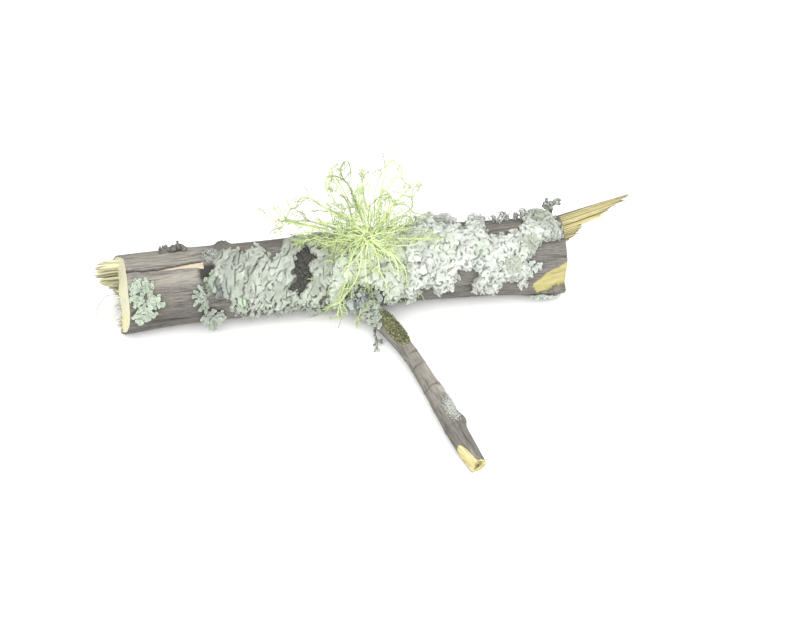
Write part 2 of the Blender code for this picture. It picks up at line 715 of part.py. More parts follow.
def make_sprig(name, root, heading, size, forks, colour):
    """A small antler-shaped lichen: a short stem on a round foot, with forks drawn out of its sides."""
    sprig = bmesh.new()
    bmesh.ops.create_icosphere(sprig, subdivisions=1, radius=0.16 * size)
    bmesh.ops.translate(sprig, verts=sprig.verts[:], vec=root)
    sprig.normal_update()
    heading = Vector(heading).normalized()
    face = max(sprig.faces, key=lambda f: f.normal.dot(heading))
    stem = [root + heading * size * share for share in (0.3, 0.55, 0.8, 1.0)]
    sides = draw_out(sprig, face, stem, [0.085 * size, 0.08 * size, 0.07 * size, 0.04 * size])
    for step, wanted, reach in forks:
        wanted = Vector(wanted).normalized()
        for face in sides[step]:
            face.normal_update()
        face = max(sides[step], key=lambda f: f.normal.dot(wanted))
        start = face.calc_center_median()
        fork = [start + wanted * reach * size * share for share in (0.5, 1.0)]
        draw_out(sprig, face, fork, [0.065 * size, 0.04 * size])
    return add_object(name, sprig, material(name, colour, 0.9))


branch_outside = add_object("branch_outside", branch_body(GAP), BARK_MATERIAL, collection=cutters)
make_branch()
make_side_twig(branch_outside)
make_leafy_lichens()
make_crusts_and_moss()
make_beard_lichen(branch_outside)
make_sprig(
    "right_sprig", on_branch(0.0668, 126, 0.0012), (-0.35, 0.25, 1.0), 0.0062,
    [(1, (1.0, 0.2, 0.4), 0.75), (2, (-1.0, -0.2, 0.5), 0.35), (3, (0.9, -0.1, 0.6), 0.3)], SLATE,
)
make_sprig(
    "twig_sprig", Vector((0.0012, -0.0215, 0.0016)), (-0.25, -1.0, 0.02), 0.0066,
    [(1, (1.0, -0.4, 0.1), 0.5), (2, (-1.0, -0.5, 0.1), 0.35)], SLATE,
)
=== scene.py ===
"""A snapped stick with lichens and moss growing on it, lying on a white table. Shapes are in millimetres."""

import math

import bpy
import numpy as np
from mathutils import Matrix, Vector


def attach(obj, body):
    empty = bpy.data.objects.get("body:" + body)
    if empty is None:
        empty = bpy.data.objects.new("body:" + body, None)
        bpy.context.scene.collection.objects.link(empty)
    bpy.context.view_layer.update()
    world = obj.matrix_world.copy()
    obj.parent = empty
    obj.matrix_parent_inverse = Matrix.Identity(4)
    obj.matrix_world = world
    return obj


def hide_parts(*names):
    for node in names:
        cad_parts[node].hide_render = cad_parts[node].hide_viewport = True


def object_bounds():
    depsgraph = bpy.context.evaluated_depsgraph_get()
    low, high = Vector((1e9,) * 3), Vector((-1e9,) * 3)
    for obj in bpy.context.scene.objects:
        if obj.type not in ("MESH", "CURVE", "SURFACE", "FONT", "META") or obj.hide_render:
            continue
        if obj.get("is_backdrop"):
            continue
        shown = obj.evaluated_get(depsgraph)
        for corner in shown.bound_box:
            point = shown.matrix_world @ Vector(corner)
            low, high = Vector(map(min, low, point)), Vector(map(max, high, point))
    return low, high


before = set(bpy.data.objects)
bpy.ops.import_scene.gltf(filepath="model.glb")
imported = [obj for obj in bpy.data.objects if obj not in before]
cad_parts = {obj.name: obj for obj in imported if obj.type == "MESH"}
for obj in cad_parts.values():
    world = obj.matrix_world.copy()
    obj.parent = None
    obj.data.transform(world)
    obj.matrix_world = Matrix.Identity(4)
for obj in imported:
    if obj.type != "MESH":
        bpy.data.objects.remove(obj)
cad_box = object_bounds()

# ---- The table, the light and the camera
# The stick lies on a plain white table top, in soft light from all round and from three large lamps: one
# above it, to the right and a little behind, and two at the front. The camera looks down at it at 45 degrees,
# from a little to the left of its front.

TABLE_HALF = 1.6  # in metres, as the lamps' and the camera's places are
LAMP_DISTANCE = 0.9
ROOM_LIGHT = 0.76
VIEW_TURN, VIEW_HEIGHT = math.radians(-7.5), math.radians(45)
VIEW_DISTANCE, VIEW_LENS = 0.6592, 85
AIM_HEIGHT, AIM_RIGHT, AIM_DOWN = 0.0132, 0.0119, 0.0132  # where the middle of the picture is


class Socket:
    """A socket of a finish. Sums and products of it add Math nodes, and node() adds any other kind."""

    def __init__(self, tree, plug):
        self.tree = tree
        self.plug = plug

    def node(self, kind, settings, inputs, output=0):
        made = self.tree.nodes.new(kind)
        for name, value in settings.items():
            if name == "stops":
                for stop, (place, colour) in enumerate(value):
                    found = made.color_ramp.elements
                    element = found[stop] if stop < 2 else found.new(place)
                    element.position = place
                    element.color = (*colour, 1)
            else:
                setattr(made, name, value)
        for name, value in inputs.items():
            if isinstance(value, Socket):
                self.tree.links.new(value.plug, made.inputs[name])
            else:
                made.inputs[name].default_value = value
        return Socket(self.tree, made.outputs[output])

    def maths(self, operation, first, second):
        return self.node("ShaderNodeMath", {"operation": operation}, {0: first, 1: second})

    def __add__(self, other):
        return self.maths("ADD", self, other)

    def __sub__(self, other):
        return self.maths("SUBTRACT", self, other)

    def __rsub__(self, other):
        return self.maths("SUBTRACT", other, self)

    def __mul__(self, other):
        return self.maths("MULTIPLY", self, other)

    __radd__ = __add__
    __rmul__ = __mul__

    def clamped(self):
        return self.node("ShaderNodeClamp", {}, {"Value": self})

    def attribute(self, name, output="Fac"):
        return self.node("ShaderNodeAttribute", {"attribute_name": name}, {}, output)

    def stretched(self, *shares):
        return self.node("ShaderNodeVectorMath", {"operation": "MULTIPLY"}, {0: self, 1: shares})

    def noise(self, scale, detail=3.0, roughness=0.55):
        values = {"Vector": self, "Scale": scale, "Detail": detail, "Roughness": roughness}
        return self.node("ShaderNodeTexNoise", {}, values)

    def ramp(self, *stops):
        return self.node("ShaderNodeValToRGB", {"stops": stops}, {"Fac": self})

    def mixed(self, other, share):
        """This colour with another one mixed in."""
        return self.node("ShaderNodeMix", {"data_type": "RGBA"}, {0: share, 6: self, 7: other}, 2)


def finish(name, roughness):
    """A new finish: (material, shader, the place on the piece in millimetres)."""
    made = bpy.data.materials.new(name)
    made.use_nodes = True
    shader = made.node_tree.nodes["Principled BSDF"]
    shader.inputs["Roughness"].default_value = roughness
    place = Socket(made.node_tree, None).node("ShaderNodeTexCoord", {}, {}, "Object")
    return made, shader, place.stretched(1000, 1000, 1000)


def feed(shader, name, socket):
    socket.tree.links.new(socket.plug, shader.inputs[name])


def feed_bump(shader, height, distance, strength=1.0):
    """Fine relief in the shading, where height goes from 0 to 1 over this many millimetres."""
    values = {"Height": height, "Distance": distance / 1000, "Strength": strength}
    feed(shader, "Normal", height.node("ShaderNodeBump", {}, values))


table_finish, table_shader, place = finish("table_top", 0.9)
tooth = place.noise(0.9, 4)
feed(table_shader, "Base Color", tooth.ramp((0.3, (0.940, 0.943, 0.938)), (0.7, (0.950, 0.952, 0.948))))
feed_bump(table_shader, tooth, 0.02, 0.5)

floor_mesh = bpy.data.meshes.new("table_top")
table_corners = [(x * TABLE_HALF, y * TABLE_HALF, 0) for x, y in ((-1, -1), (1, -1), (1, 1), (-1, 1))]
floor_mesh.from_pydata(table_corners, [], [(0, 1, 2, 3)])
floor_mesh.materials.append(table_finish)
floor = bpy.data.objects.new("table_top", floor_mesh)
bpy.context.scene.collection.objects.link(floor)
floor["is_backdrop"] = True

sky = bpy.data.worlds.new("soft_room")
sky.use_nodes = True
sky.node_tree.nodes["Background"].inputs["Color"].default_value = (1.0, 1.0, 1.0, 1)
sky.node_tree.nodes["Background"].inputs["Strength"].default_value = ROOM_LIGHT
bpy.context.scene.world = sky


def add_lamp(name, towards, size, watts):
    """A square soft lamp of this size in metres, turned to the stick from this direction."""
    lamp = bpy.data.lights.new(name, "AREA")
    lamp.shape = "SQUARE"
    lamp.size = size
    lamp.energy = watts
    holder = bpy.data.objects.new(name, lamp)
    direction = Vector(towards).normalized()
    holder.location = direction * LAMP_DISTANCE
    holder.rotation_euler = direction.to_track_quat("Z", "Y").to_euler()
    bpy.context.scene.collection.objects.link(holder)


add_lamp("large_soft_lamp", (0.36, 0.14, 0.92), 0.55, 3.0)
add_lamp("front_left_fill", (-0.5, -0.8, 0.85), 1.0, 7.1)
add_lamp("front_right_fill", (0.6, -0.75, 0.85), 1.0, 6.5)

bpy.context.scene.view_settings.view_transform = "Standard"

to_right = Vector((math.cos(VIEW_TURN), math.sin(VIEW_TURN), 0))
level = math.cos(VIEW_HEIGHT)
to_camera = Vector((math.sin(VIEW_TURN) * level, -math.cos(VIEW_TURN) * level, math.sin(VIEW_HEIGHT)))
upwards = to_camera.cross(to_right)
camera = bpy.data.objects.new("camera", bpy.data.cameras.new("camera"))
camera.data.lens = VIEW_LENS
camera.data.sensor_width = 36
camera.data.clip_start = 0.01
turned = Matrix((to_right, upwards, to_camera)).transposed().to_4x4()
turned.translation = Vector((0, 0, AIM_HEIGHT)) + AIM_RIGHT * to_right - AIM_DOWN * upwards
turned.translation += VIEW_DISTANCE * to_camera
camera.matrix_world = turned
bpy.context.scene.collection.objects.link(camera)
bpy.context.scene.camera = camera

# ---- The bark of the stick
# The stick is a length of dead branch, 154 mm long and 26 mm thick. Its bark is thin, grey brown and finely
# furrowed along its length, and grown to the wood. A crack in it opens into a bare strip, and a slice was cut
# off through bark and wood at the right.

STICK_LEFT, STICK_RIGHT = -84.7, 69.0
STICK_RADIUS, AXIS_HEIGHT, STICK_BOW = 13.2, 12.9, 2.0
SWELLINGS = [(0.5, -26, 7.5, 32, 1.2), (-85.0, -42, 13.0, 48, 1.1), (62.0, -52, 7.5, 24, 1.4)]
CUT_TURN, CUT_LEAN = 0.15, 0.08  # slopes of the sawn end
CUT_EDGE = [(0, 0.35), (45, 0.6), (90, 1.3), (110, 1.6), (125, 0.6), (140, -0.4), (160, -1.1), (181, -2.4),
            (200, -1.0), (225, 2.0), (262, 1.6), (282, -0.9), (300, -1.7), (318, -0.6)]  # where the bark ends
CUT_BLEND = 7  # how far along the stick the slope of the sawn end is felt
BARK_THICKNESS, SOCKET_DEPTH = 0.5, 4.5
SCARF_X, SCARF_ANGLE, SCARF_SLOPE = 57.2, -8, 12.5  # of the slice at the right
CRACK = [(-86, 78.5), (-81.4, 77), (-76.4, 75), (-71.3, 74.2), (-67.2, 76), (-62.8, 78.5), (-55.5, 80.5)]
BARE_STRIP = (-77.0, -55.8)  # where it starts and ends
TAN, GOLD = (0.47, 0.405, 0.30), (0.40, 0.355, 0.145)


def stick_axis(x):
    """How far back the axis of the stick is at x."""
    return STICK_BOW * (1 - ((x + 7.85) / 76.85) ** 2)


def stick_radius(x, angle):
    """The stick is not quite round. Angles go from the front, 0, over the top, 90, to the back."""
    turn = np.radians(angle)
    uneven = 0.016 * np.cos(2 * turn + 0.030 * x) + 0.012 * np.cos(3 * turn - 0.070 * x)
    uneven = uneven + 0.01 * np.cos(0.095 * x)
    radius = STICK_RADIUS * (1 + uneven * (1 - np.maximum(0, -np.sin(turn)) ** 3))
    for at, middle, length, width, height in SWELLINGS:
        around = ((angle - middle + 180) % 360 - 180) / width
        radius = radius + height * np.exp(-(((x - at) / length) ** 2) - around**2)
    return radius


def on_stick(x, angle, height=0.0):
    """Places this high over the smooth bark."""
    turn = np.radians(angle)
    reach = stick_radius(x, angle) + height
    back, up = stick_axis(x) - reach * np.cos(turn), AXIS_HEIGHT + reach * np.sin(turn)
    return np.stack([x + 0 * reach, back, up], -1)


def noise(places, seed):
    """Smooth noise from about -1 to 1 whose folds are one unit apart."""
    places = np.asarray(places, float) + seed * 17.31
    cell = np.floor(places).astype(np.int64)
    part = places - cell
    fade = part**3 * (part * (part * 6 - 15) + 10)
    total = np.zeros(places.shape[:-1])
    for corner in np.ndindex(2, 2, 2):
        spot = cell + corner
        mixed = spot[..., 0] * 73856093 ^ spot[..., 1] * 19349663 ^ spot[..., 2] * 83492791
        mixed = (mixed ^ (mixed >> 13)) * 1274126177 & 0x7FFFFFFF
        mixed = (mixed ^ (mixed >> 15)) & 0xFFFFFF
        slope = np.stack([(mixed >> shift & 255) / 127.5 - 1 for shift in (0, 8, 16)], -1)
        weight = np.prod(np.where(corner, fade, 1 - fade), axis=-1)
        total += weight * ((part - corner) * slope).sum(-1)
    return total * 1.5


def step(value, start, end):
    """0 before start, 1 after end, and smooth between them."""
    share = np.clip((value - start) / (end - start), 0, 1)
    return share * share * (3 - 2 * share)


def grid(rows, columns, closed=False):
    """The four-sided faces of rows of points, in columns that may close on themselves."""
    index = np.arange(rows * columns).reshape(rows, columns)
    if closed:
        index = np.hstack([index, index[:, :1]])
    return np.stack([index[:-1, :-1], index[1:, :-1], index[1:, 1:], index[:-1, 1:]], -1).reshape(-1, 4)


def add_piece(name, places, faces, material, smooth=True, **attributes):
    """A mesh piece from places in millimetres, with values or colours for its finish at each of them."""
    kinds = {1: ("FLOAT", "value"), 3: ("FLOAT_VECTOR", "vector"), 4: ("FLOAT_COLOR", "color")}
    mesh = bpy.data.meshes.new(name)
    mesh.from_pydata(np.asarray(places) / 1000, [], [list(face) for face in faces])
    for key, values in attributes.items():
        values = np.asarray(values, np.float32)
        kind, field = kinds[1 if values.ndim == 1 else values.shape[1]]
        mesh.attributes.new(key, kind, "POINT").data.foreach_set(field, values.ravel())
    mesh.polygons.foreach_set("use_smooth", [smooth] * len(mesh.polygons))
    mesh.materials.append(material)
    made = bpy.data.objects.new(name, mesh)
    bpy.context.scene.collection.objects.link(made)
    return made


def bark_relief(grain):
    """(height, painted shade in the furrows and cracks) of bark at places given along the grain and across
    it.
    """
    wander = 0.10 * noise(grain * (0.04, 0.25, 0.25), 1)[..., None]
    wide = noise(grain * (0.035, 0.66, 0.66) + wander, 2)
    fine = noise(grain * (0.055, 1.7, 1.7) + wander, 3)
    furrows = np.clip(1 - np.abs(wide) / 0.14, 0, 1) * step(noise(grain * (0.07, 0.3, 0.3), 4), -0.4, 0.2)
    cracks = np.clip(1 - np.abs(fine) / 0.20, 0, 1)
    height = 0.14 * noise(grain * (0.12, 0.35, 0.35), 5) + 0.05 * fine
    height = height + 0.06 * noise(grain * (0.8, 2.6, 2.6), 6)
    return height - 0.22 * furrows - 0.09 * cracks, np.clip(0.8 * furrows + 0.45 * cracks, 0, 1)


slope, turn = math.radians(SCARF_SLOPE), math.radians(SCARF_ANGLE)
scarf_out = np.array([math.sin(slope), -math.cos(slope) * math.cos(turn), math.cos(slope) * math.sin(turn)])
scarf_place = on_stick(SCARF_X, SCARF_ANGLE)

seen, unseen = np.linspace(-30, 140, 126, endpoint=False), np.linspace(140, 330, 50, endpoint=False)
angles = np.concatenate([seen, unseen])
x, angle = np.meshgrid(np.linspace(STICK_LEFT, STICK_RIGHT, 350), angles, indexing="ij")
skin = on_stick(x, angle)
grain = skin - np.stack([0 * x, stick_axis(x), 0 * x + AXIS_HEIGHT], -1)
height, depth = bark_relief(grain)
arc = np.radians(angle) * STICK_RADIUS

along_only = x[..., None] * (1, 0, 0)
crack_arc = np.radians(np.interp(x, *zip(*CRACK))) * STICK_RADIUS + 0.15 * noise(along_only * 0.7, 8)
beside_crack = np.abs(arc - crack_arc)
crack_width = 0.30 + 0.35 * step(-x, 80, 85)
in_crack = (1 - step(beside_crack, 0.5 * crack_width, 1.6 * crack_width)) * step(-x, 55.5, 57)
opened = np.clip((x - BARE_STRIP[0]) / (BARE_STRIP[1] - BARE_STRIP[0]), 0, 1)
strip_low = crack_arc - 0.10 - 2.9 * opened**1.15 + 0.12 * noise(along_only * 1.5, 9)
from_sides = np.minimum(arc - strip_low, crack_arc - arc)
from_ends = np.minimum(x - BARE_STRIP[0], BARE_STRIP[1] - x)
bare_strip = step(np.minimum(from_sides, from_ends), -0.10, 0.14)
height = np.where(bare_strip > 0.5, 0.06 * noise(grain * (0.2, 3.2, 3.2), 10) - 0.1, height)
height -= 0.45 * bare_strip + 0.85 * in_crack * (1 - 0.6 * bare_strip)
hollow = np.exp(-(((x + 54.6) / 3.0) ** 4) - ((angle - 60) / 13) ** 4)
height -= 1.0 * hollow
knob = np.exp(-(((x + 49.0) / 2.5) ** 4) - ((angle - 117) / 13) ** 4)
height += (1.5 + 0.6 * noise(skin * 0.9, 7)) * knob
height += 0.35 * np.exp(-(((x + 53.8) / 3.0) ** 2) - ((angle - 86) / 12) ** 2)

spoke = np.stack([0 * x, -np.cos(np.radians(angle)), np.sin(np.radians(angle))], -1)
over_scarf = (skin - scarf_place) @ scarf_out + 0.30 * noise(grain * (0.16, 0.5, 0.5), 13)
over_scarf += 0.16 * noise(grain * (0.5, 1.2, 1.2), 14)
facing = spoke @ scarf_out
below = (angle + 180) % 360 - 180
on_scarf = (facing > 0.25) & (x > 50) & (below > -27 + 5 * noise(along_only * 0.7, 16))
cut_back = np.where(on_scarf, over_scarf / np.where(on_scarf, facing, 1), 0)
scarf = step(cut_back, 0.0, 0.22)
wood_relief = 0.24 * noise(grain * (0.08, 1.3, 1.3), 11) + 0.07 * noise(grain * (0.3, 4, 4), 12)
height = np.where(cut_back > 0, np.minimum(height, wood_relief - cut_back), height)
places = skin + spoke * height[..., None]

tilt = CUT_LEAN * (places[..., 2] - AXIS_HEIGHT) - CUT_TURN * (places[..., 1] - stick_axis(x))
torn_edge = 0.35 * step(angle, 130, 160) * noise(grain * (0, 0.9, 0.9), 15)
tilt += np.interp(angle, *zip(*CUT_EDGE), period=360) + torn_edge
places[..., 0] += tilt * np.clip(1 - (x - STICK_LEFT) / CUT_BLEND, 0, 1)
places[..., 2] = np.maximum(places[..., 2], 0.0)


def inner_edge(rim, end):
    """The inner edge of the bark at an end of the stick."""
    return rim + (np.array([0, stick_axis(end), AXIS_HEIGHT]) - rim) * (0, 1, 1) * BARK_THICKNESS / 13


socket_ring, far_ring = inner_edge(places[0], STICK_LEFT), inner_edge(places[-1], STICK_RIGHT)
deep_ring, far_deep_ring = socket_ring + (SOCKET_DEPTH, 0, 0), far_ring - (SOCKET_DEPTH, 0, 0)

rows = np.concatenate([deep_ring[None], socket_ring[None], places, far_ring[None], far_deep_ring[None]])
count = len(angles)
bark_faces = grid(len(rows), count, closed=True)[:, ::-1].tolist()
bark_faces += [list(range(count)), list(range((len(rows) - 1) * count, len(rows) * count))[::-1]]


def ends(values):
    """Values of the rows at both ends carried into the sockets that hold the wood."""
    carried = np.concatenate([values[:1], values[:1], values, values[-1:], values[-1:]])
    return carried.reshape(-1, *values.shape[2:])


paint = np.zeros((*x.shape, 4))
# Painted shade darkens the crack and the hollow; the knob is darker bark.
depth = np.maximum(depth, np.clip(1.2 * in_crack + 2.0 * hollow + 0.6 * knob, 0, 1.3))
depth = depth + 0.45 * step(-below, -34, 0) * step(-x, 45, 60)  # painted shade: darker underneath at the left
for colour, cover in ((TAN, bare_strip * (1 - 0.8 * in_crack)), (GOLD, scarf)):
    paint = paint * (1 - cover[..., None]) + np.array([*colour, 1]) * cover[..., None]

bark_finish, bark_shader, place = finish("bark", 0.85)
grain_place = place.attribute("grain", "Vector")
streaks = grain_place.stretched(0.09, 1, 1).noise(3.0, 6, 0.72)
blotches = grain_place.stretched(0.4, 1, 1).noise(0.22, 4, 0.6)
specks = grain_place.stretched(0.4, 1, 1).noise(3.6, 5, 0.8)
bark_colour = streaks.ramp((0.32, (0.058, 0.055, 0.048)), (0.50, (0.137, 0.130, 0.115)),
                           (0.68, (0.255, 0.245, 0.22)))
bark_colour = bark_colour.mixed((0.185, 0.156, 0.128, 1), (blotches - 0.45).clamped() * 2.2)
bark_colour = bark_colour.mixed((0.36, 0.355, 0.325, 1), ((specks - 0.54) * 4.0).clamped() * 0.55)
bark_colour = bark_colour.mixed((0.045, 0.042, 0.037, 1), ((0.46 - specks) * 5.0).clamped() * 0.5)
# Painted highlight and a pale patch make the bark paler; painted shade in furrows, cracks, hollows and ring
# grooves, and darker bark, make it near black.
bark_colour = bark_colour.mixed((0.39, 0.365, 0.31, 1), place.attribute("worn") * (streaks * 1.35))
bark_colour = bark_colour.mixed((0.028, 0.025, 0.022, 1), (place.attribute("depth") * 0.75).clamped())
fibres = grain_place.stretched(0.10, 1, 1).noise(1.3, 5, 0.7)
laid = place.attribute("paint", "Color").mixed((0.20, 0.15, 0.07, 1), ((fibres - 0.52) * 6.0).clamped() * 0.8)
laid = laid.mixed((0.72, 0.66, 0.42, 1), ((0.46 - fibres) * 5.0).clamped() * 0.55)
cover = place.attribute("paint", "Alpha")
edge = ((cover + 0.35 * (specks - 0.5) - 0.5) * 5 + 0.5).clamped()
feed(bark_shader, "Base Color", bark_colour.mixed(laid, edge))
feed_bump(bark_shader, streaks * 0.6 + specks * 0.4, 0.25, 0.55)

worn = 0.7 * step(angle, 62, 92) * (1 - step(angle, 150, 200)) + 0.75 * np.exp(-(((angle - 56) / 10) ** 4))
worn = worn * (1 - step(x, -60, -48))  # painted highlight: paler bands on the bare bark at the left
bark = add_piece("stick_bark", rows.reshape(-1, 3), bark_faces, bark_finish, grain=ends(grain),
                 depth=ends(depth), paint=ends(paint), worn=ends(worn))
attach(bark, "root")
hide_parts("branch")

# ---- The bare wood at both ends of the stick
# At the left the stick was sawn half through and then broken. The front of that end is a clean pale cut with
# upright saw marks, and its back is torn into ochre fibres that still stand out. The right end snapped off
# short and rough.

CREAM, OCHRE, YELLOWED = (0.57, 0.555, 0.385), (0.525, 0.50, 0.31), (0.68, 0.60, 0.24)
TORN_BROWN, SNAPPED_PALE, HAIR_GREY = (0.41, 0.36, 0.20), (0.64, 0.57, 0.34), (0.26, 0.25, 0.19)
TORN_FROM = -1.6  # how far down and back from the axis the tear starts
TORN_LENGTHS = [(-12.5, 0.4), (-8, 0.5), (-4, 0.8), (-1, 1.4), (1, 2.6), (3.3, 5.4), (5, 8.0), (6.6, 9.4),
                (9, 8.4), (11.4, 7.0), (12.5, 5.4)]  # at places from the bottom front to the top back
FIBRES, FIBRE_STEPS, FIBRE_SIDES = 190, 8, 6
HAIRS, HAIR_STEPS = 90, 6
LONG_HAIR = [(-85.5, 2.6, 9.9), (-90.2, 3, 9.5), (-93.2, -1, 9.0), (-94.1, -4.2, 7.4), (-93.6, -5.7, 4.4),
             (-92.4, -6, 2)]
DIAGONAL = 0.7071

wood_finish, wood_shader, place = finish("bare_wood", 0.6)
grain_place = place.attribute("grain", "Vector")
fibres = grain_place.stretched(0.06, 1, 1).noise(2.0, 5, 0.65)
wood_colour = place.attribute("paint", "Color")
wood_colour = wood_colour.mixed((0.24, 0.18, 0.08, 1), ((fibres - 0.53) * 4.0).clamped() * 0.65)
wood_colour = wood_colour.mixed((0.80, 0.78, 0.62, 1), ((0.46 - fibres) * 4.0).clamped() * 0.45)
feed(wood_shader, "Base Color", wood_colour)
feed_bump(wood_shader, fibres, 0.2, 0.6)


def colours(shade, count):
    """One colour for each of this many places."""
    return np.tile((*shade, 1.0), (count, 1))


def opaque(shades):
    """These colours, each with full cover."""
    return np.hstack([shades, np.ones((len(shades), 1))])


def blend(first, second, share):
    """Opaque colours from the first to the second by shares."""
    return np.array([*first, 1]) * (1 - share) + np.array([*second, 1]) * share


def end_plug(ring, end, outward, relief):
    """(places, faces) of the wood that fills a ring of bark, its face raised or sunk by the relief."""
    middle = np.array([end, stick_axis(end), AXIS_HEIGHT])
    shares = np.linspace(0, 1, 40)[:, None, None] * 0.997
    face = middle + (ring - middle) * shares
    face[..., 0] += outward * relief(face - middle) * (1 - step(shares[..., 0], 0.97, 1.0))
    wall = face[-1] - (outward * 4.0, 0, 0)
    places = np.concatenate([face, wall[None]])
    faces = grid(*places.shape[:2], closed=True)
    if outward > 0:
        faces = faces[:, ::-1]
    count = len(ring)
    back = list(range(len(face) * count, len(places) * count))
    return places, faces.tolist() + [back if outward > 0 else back[::-1]]


def torn_share(spot):
    """1 where the end is torn, 0 where it is sawn."""
    behind, above = (spot[..., 1] - spot[..., 2]) * DIAGONAL, (spot[..., 1] + spot[..., 2]) * DIAGONAL
    ragged = 0.7 * noise(above[..., None] * (0, 0, 0.5), 20) + 0.4 * noise(above[..., None] * (0, 0, 2.2), 21)
    start = TORN_FROM + 0.03 * above**2 + ragged
    return step(behind, start - 0.3, start + 0.3)


def sawn_relief(spot):
    torn = torn_share(spot)
    saw_marks = 0.05 * noise(spot * (0, 3.0, 0.15), 22) + 0.03 * noise(spot * (0, 6.5, 0.4), 23)
    raised = 1.6 * (1 - np.clip(np.linalg.norm(spot[..., 1:], axis=-1) / 13, 0, 1))
    pulled = -1.3 + 0.9 * noise(spot * (0, 0.9, 0.9), 24) + 0.5 * noise(spot * (0, 2.2, 2.2), 25)
    return (1 - torn) * (0.12 + raised + saw_marks) + torn * pulled


places, faces = end_plug(socket_ring, STICK_LEFT, -1, sawn_relief)
spot = places - places[0].mean(0)
torn = torn_share(spot)[..., None]
yellowed = step(noise(spot * (0, 0.35, 0.12), 26) - 0.05 * spot[..., 2], 0.1, 0.6)[..., None] * 0.75
paint = blend(CREAM, YELLOWED, yellowed) * (1 - torn) + np.array([*TORN_BROWN, 1]) * torn
sawn_end = add_piece("sawn_end", places.reshape(-1, 3), faces, wood_finish, paint=paint.reshape(-1, 4),
                     grain=spot[..., [2, 1, 0]].reshape(-1, 3))


def snapped_relief(spot):
    bundles = noise(spot * (0, 0.55, 0.55), 27) + 0.6 * noise(spot * (0, 1.5, 1.5), 28)
    return 0.9 * np.round(bundles * 2.2) / 2.2 + 0.35 * noise(spot * (0, 3.4, 3.4), 29) - 0.5


places, faces = end_plug(far_ring, STICK_RIGHT, 1, snapped_relief)
spot = places - places[0].mean(0)
pale = step(noise(spot * (0, 0.5, 0.5), 30), -0.3, 0.5)[..., None]
snapped_end = add_piece("snapped_end", places.reshape(-1, 3), faces, wood_finish,
                        paint=blend(OCHRE, SNAPPED_PALE, pale).reshape(-1, 4), grain=spot.reshape(-1, 3))


def drawn_out(paths, widths, thicknesses, up, sides=6):
    """(places, faces) of closed oval strands of these half sizes, along paths (strand, step, xyz)."""
    strands, steps = paths.shape[:2]
    run = np.gradient(paths, axis=1)
    run /= np.linalg.norm(run, axis=-1, keepdims=True)
    over = np.broadcast_to(np.asarray(up, float), (strands, 3))
    overs = []
    for number in range(steps):
        over = over - (over * run[:, number]).sum(-1, keepdims=True) * run[:, number]
        over = over / np.linalg.norm(over, axis=-1, keepdims=True)
        overs.append(over)
    over = np.stack(overs, 1)
    side = np.cross(run, over)
    turn = np.arange(sides) * 2 * np.pi / sides + np.pi / sides
    wide = side[:, :, None] * (widths[..., None] * np.cos(turn))[..., None]
    high = over[:, :, None] * (thicknesses[..., None] * np.sin(turn))[..., None]
    places = (paths[:, :, None] + wide + high).reshape(-1, 3)
    first = np.arange(strands)[:, None, None] * steps * sides
    walls = (grid(steps, sides, closed=True)[None, :, ::-1] + first).reshape(-1, 4)
    caps = np.stack([np.arange(sides)[::-1], np.arange(sides) + (steps - 1) * sides])
    return places, walls[:, ::-1].tolist() + (caps[None] + first).reshape(-1, sides).tolist()


rng = np.random.default_rng(21)
behind = rng.uniform(TORN_FROM - 0.2, 11.0, FIBRES)
above = rng.uniform(-1, 1, FIBRES) * np.sqrt(11.6**2 - behind**2)
above = np.where((above < -2) & (rng.uniform(0, 1, FIBRES) > 0.4), -above, above)
length = 3.2 + np.interp(above, *zip(*TORN_LENGTHS)) * rng.uniform(0.35, 1.0, FIBRES) ** 0.6
share = np.linspace(0, 1, FIBRE_STEPS)
paths = np.zeros((FIBRES, FIBRE_STEPS, 3))
paths[..., 0] = STICK_LEFT + 2.5 - length[:, None] * share
sway = rng.normal(0, 0.035, (2, FIBRES, 1)) * length[:, None]
paths[..., 1] = stick_axis(STICK_LEFT) + ((above + behind) * DIAGONAL)[:, None] + sway[0] * share**2
paths[..., 2] = AXIS_HEIGHT + ((above - behind) * DIAGONAL)[:, None] + sway[1] * share**2
blunt = 1 - 0.85 * step(share, rng.uniform(0.45, 0.85, (FIBRES, 1)), 1.0)
widths = rng.uniform(0.20, 0.55, (FIBRES, 1)) * blunt
thicknesses = rng.uniform(0.25, 0.55, (FIBRES, 1)) * blunt
places, faces = drawn_out(paths, thicknesses, widths, (0, 0, 1), FIBRE_SIDES)
tone = rng.uniform(0, 1, FIBRES)[:, None]
paint = np.array(OCHRE) * (0.55 + 0.75 * tone) * (1 - 0.45 * (rng.uniform(0, 1, (FIBRES, 1)) > 0.75))
paint = np.repeat(opaque(paint), FIBRE_STEPS * FIBRE_SIDES, axis=0)
torn_fibres = add_piece("torn_fibres", places, faces, wood_finish, smooth=False, paint=paint, grain=places)

above = rng.uniform(-12.0, 8.0, HAIRS)[:, None]
behind = TORN_FROM + 0.03 * above**2 + rng.uniform(-0.8, 0.6, (HAIRS, 1))
share = np.linspace(0, 1, HAIR_STEPS)
length = rng.uniform(0.6, 2.2, (HAIRS, 1))
paths = np.zeros((HAIRS, HAIR_STEPS, 3))
paths[..., 0] = STICK_LEFT + 0.3 - (length + 1.2) * share
sideways = rng.normal(0, 0.3, (HAIRS, 1)) * share
droop = rng.normal(-0.2, 0.4, (HAIRS, 1)) * length * share**2
paths[..., 1] = stick_axis(STICK_LEFT) + (above + behind) * DIAGONAL + sideways
paths[..., 2] = AXIS_HEIGHT + (above - behind) * DIAGONAL + droop
thin = np.full((HAIRS, HAIR_STEPS), 0.075) * (1 - 0.6 * share)
places, faces = drawn_out(paths, thin, thin, (0, 0, 1), 4)


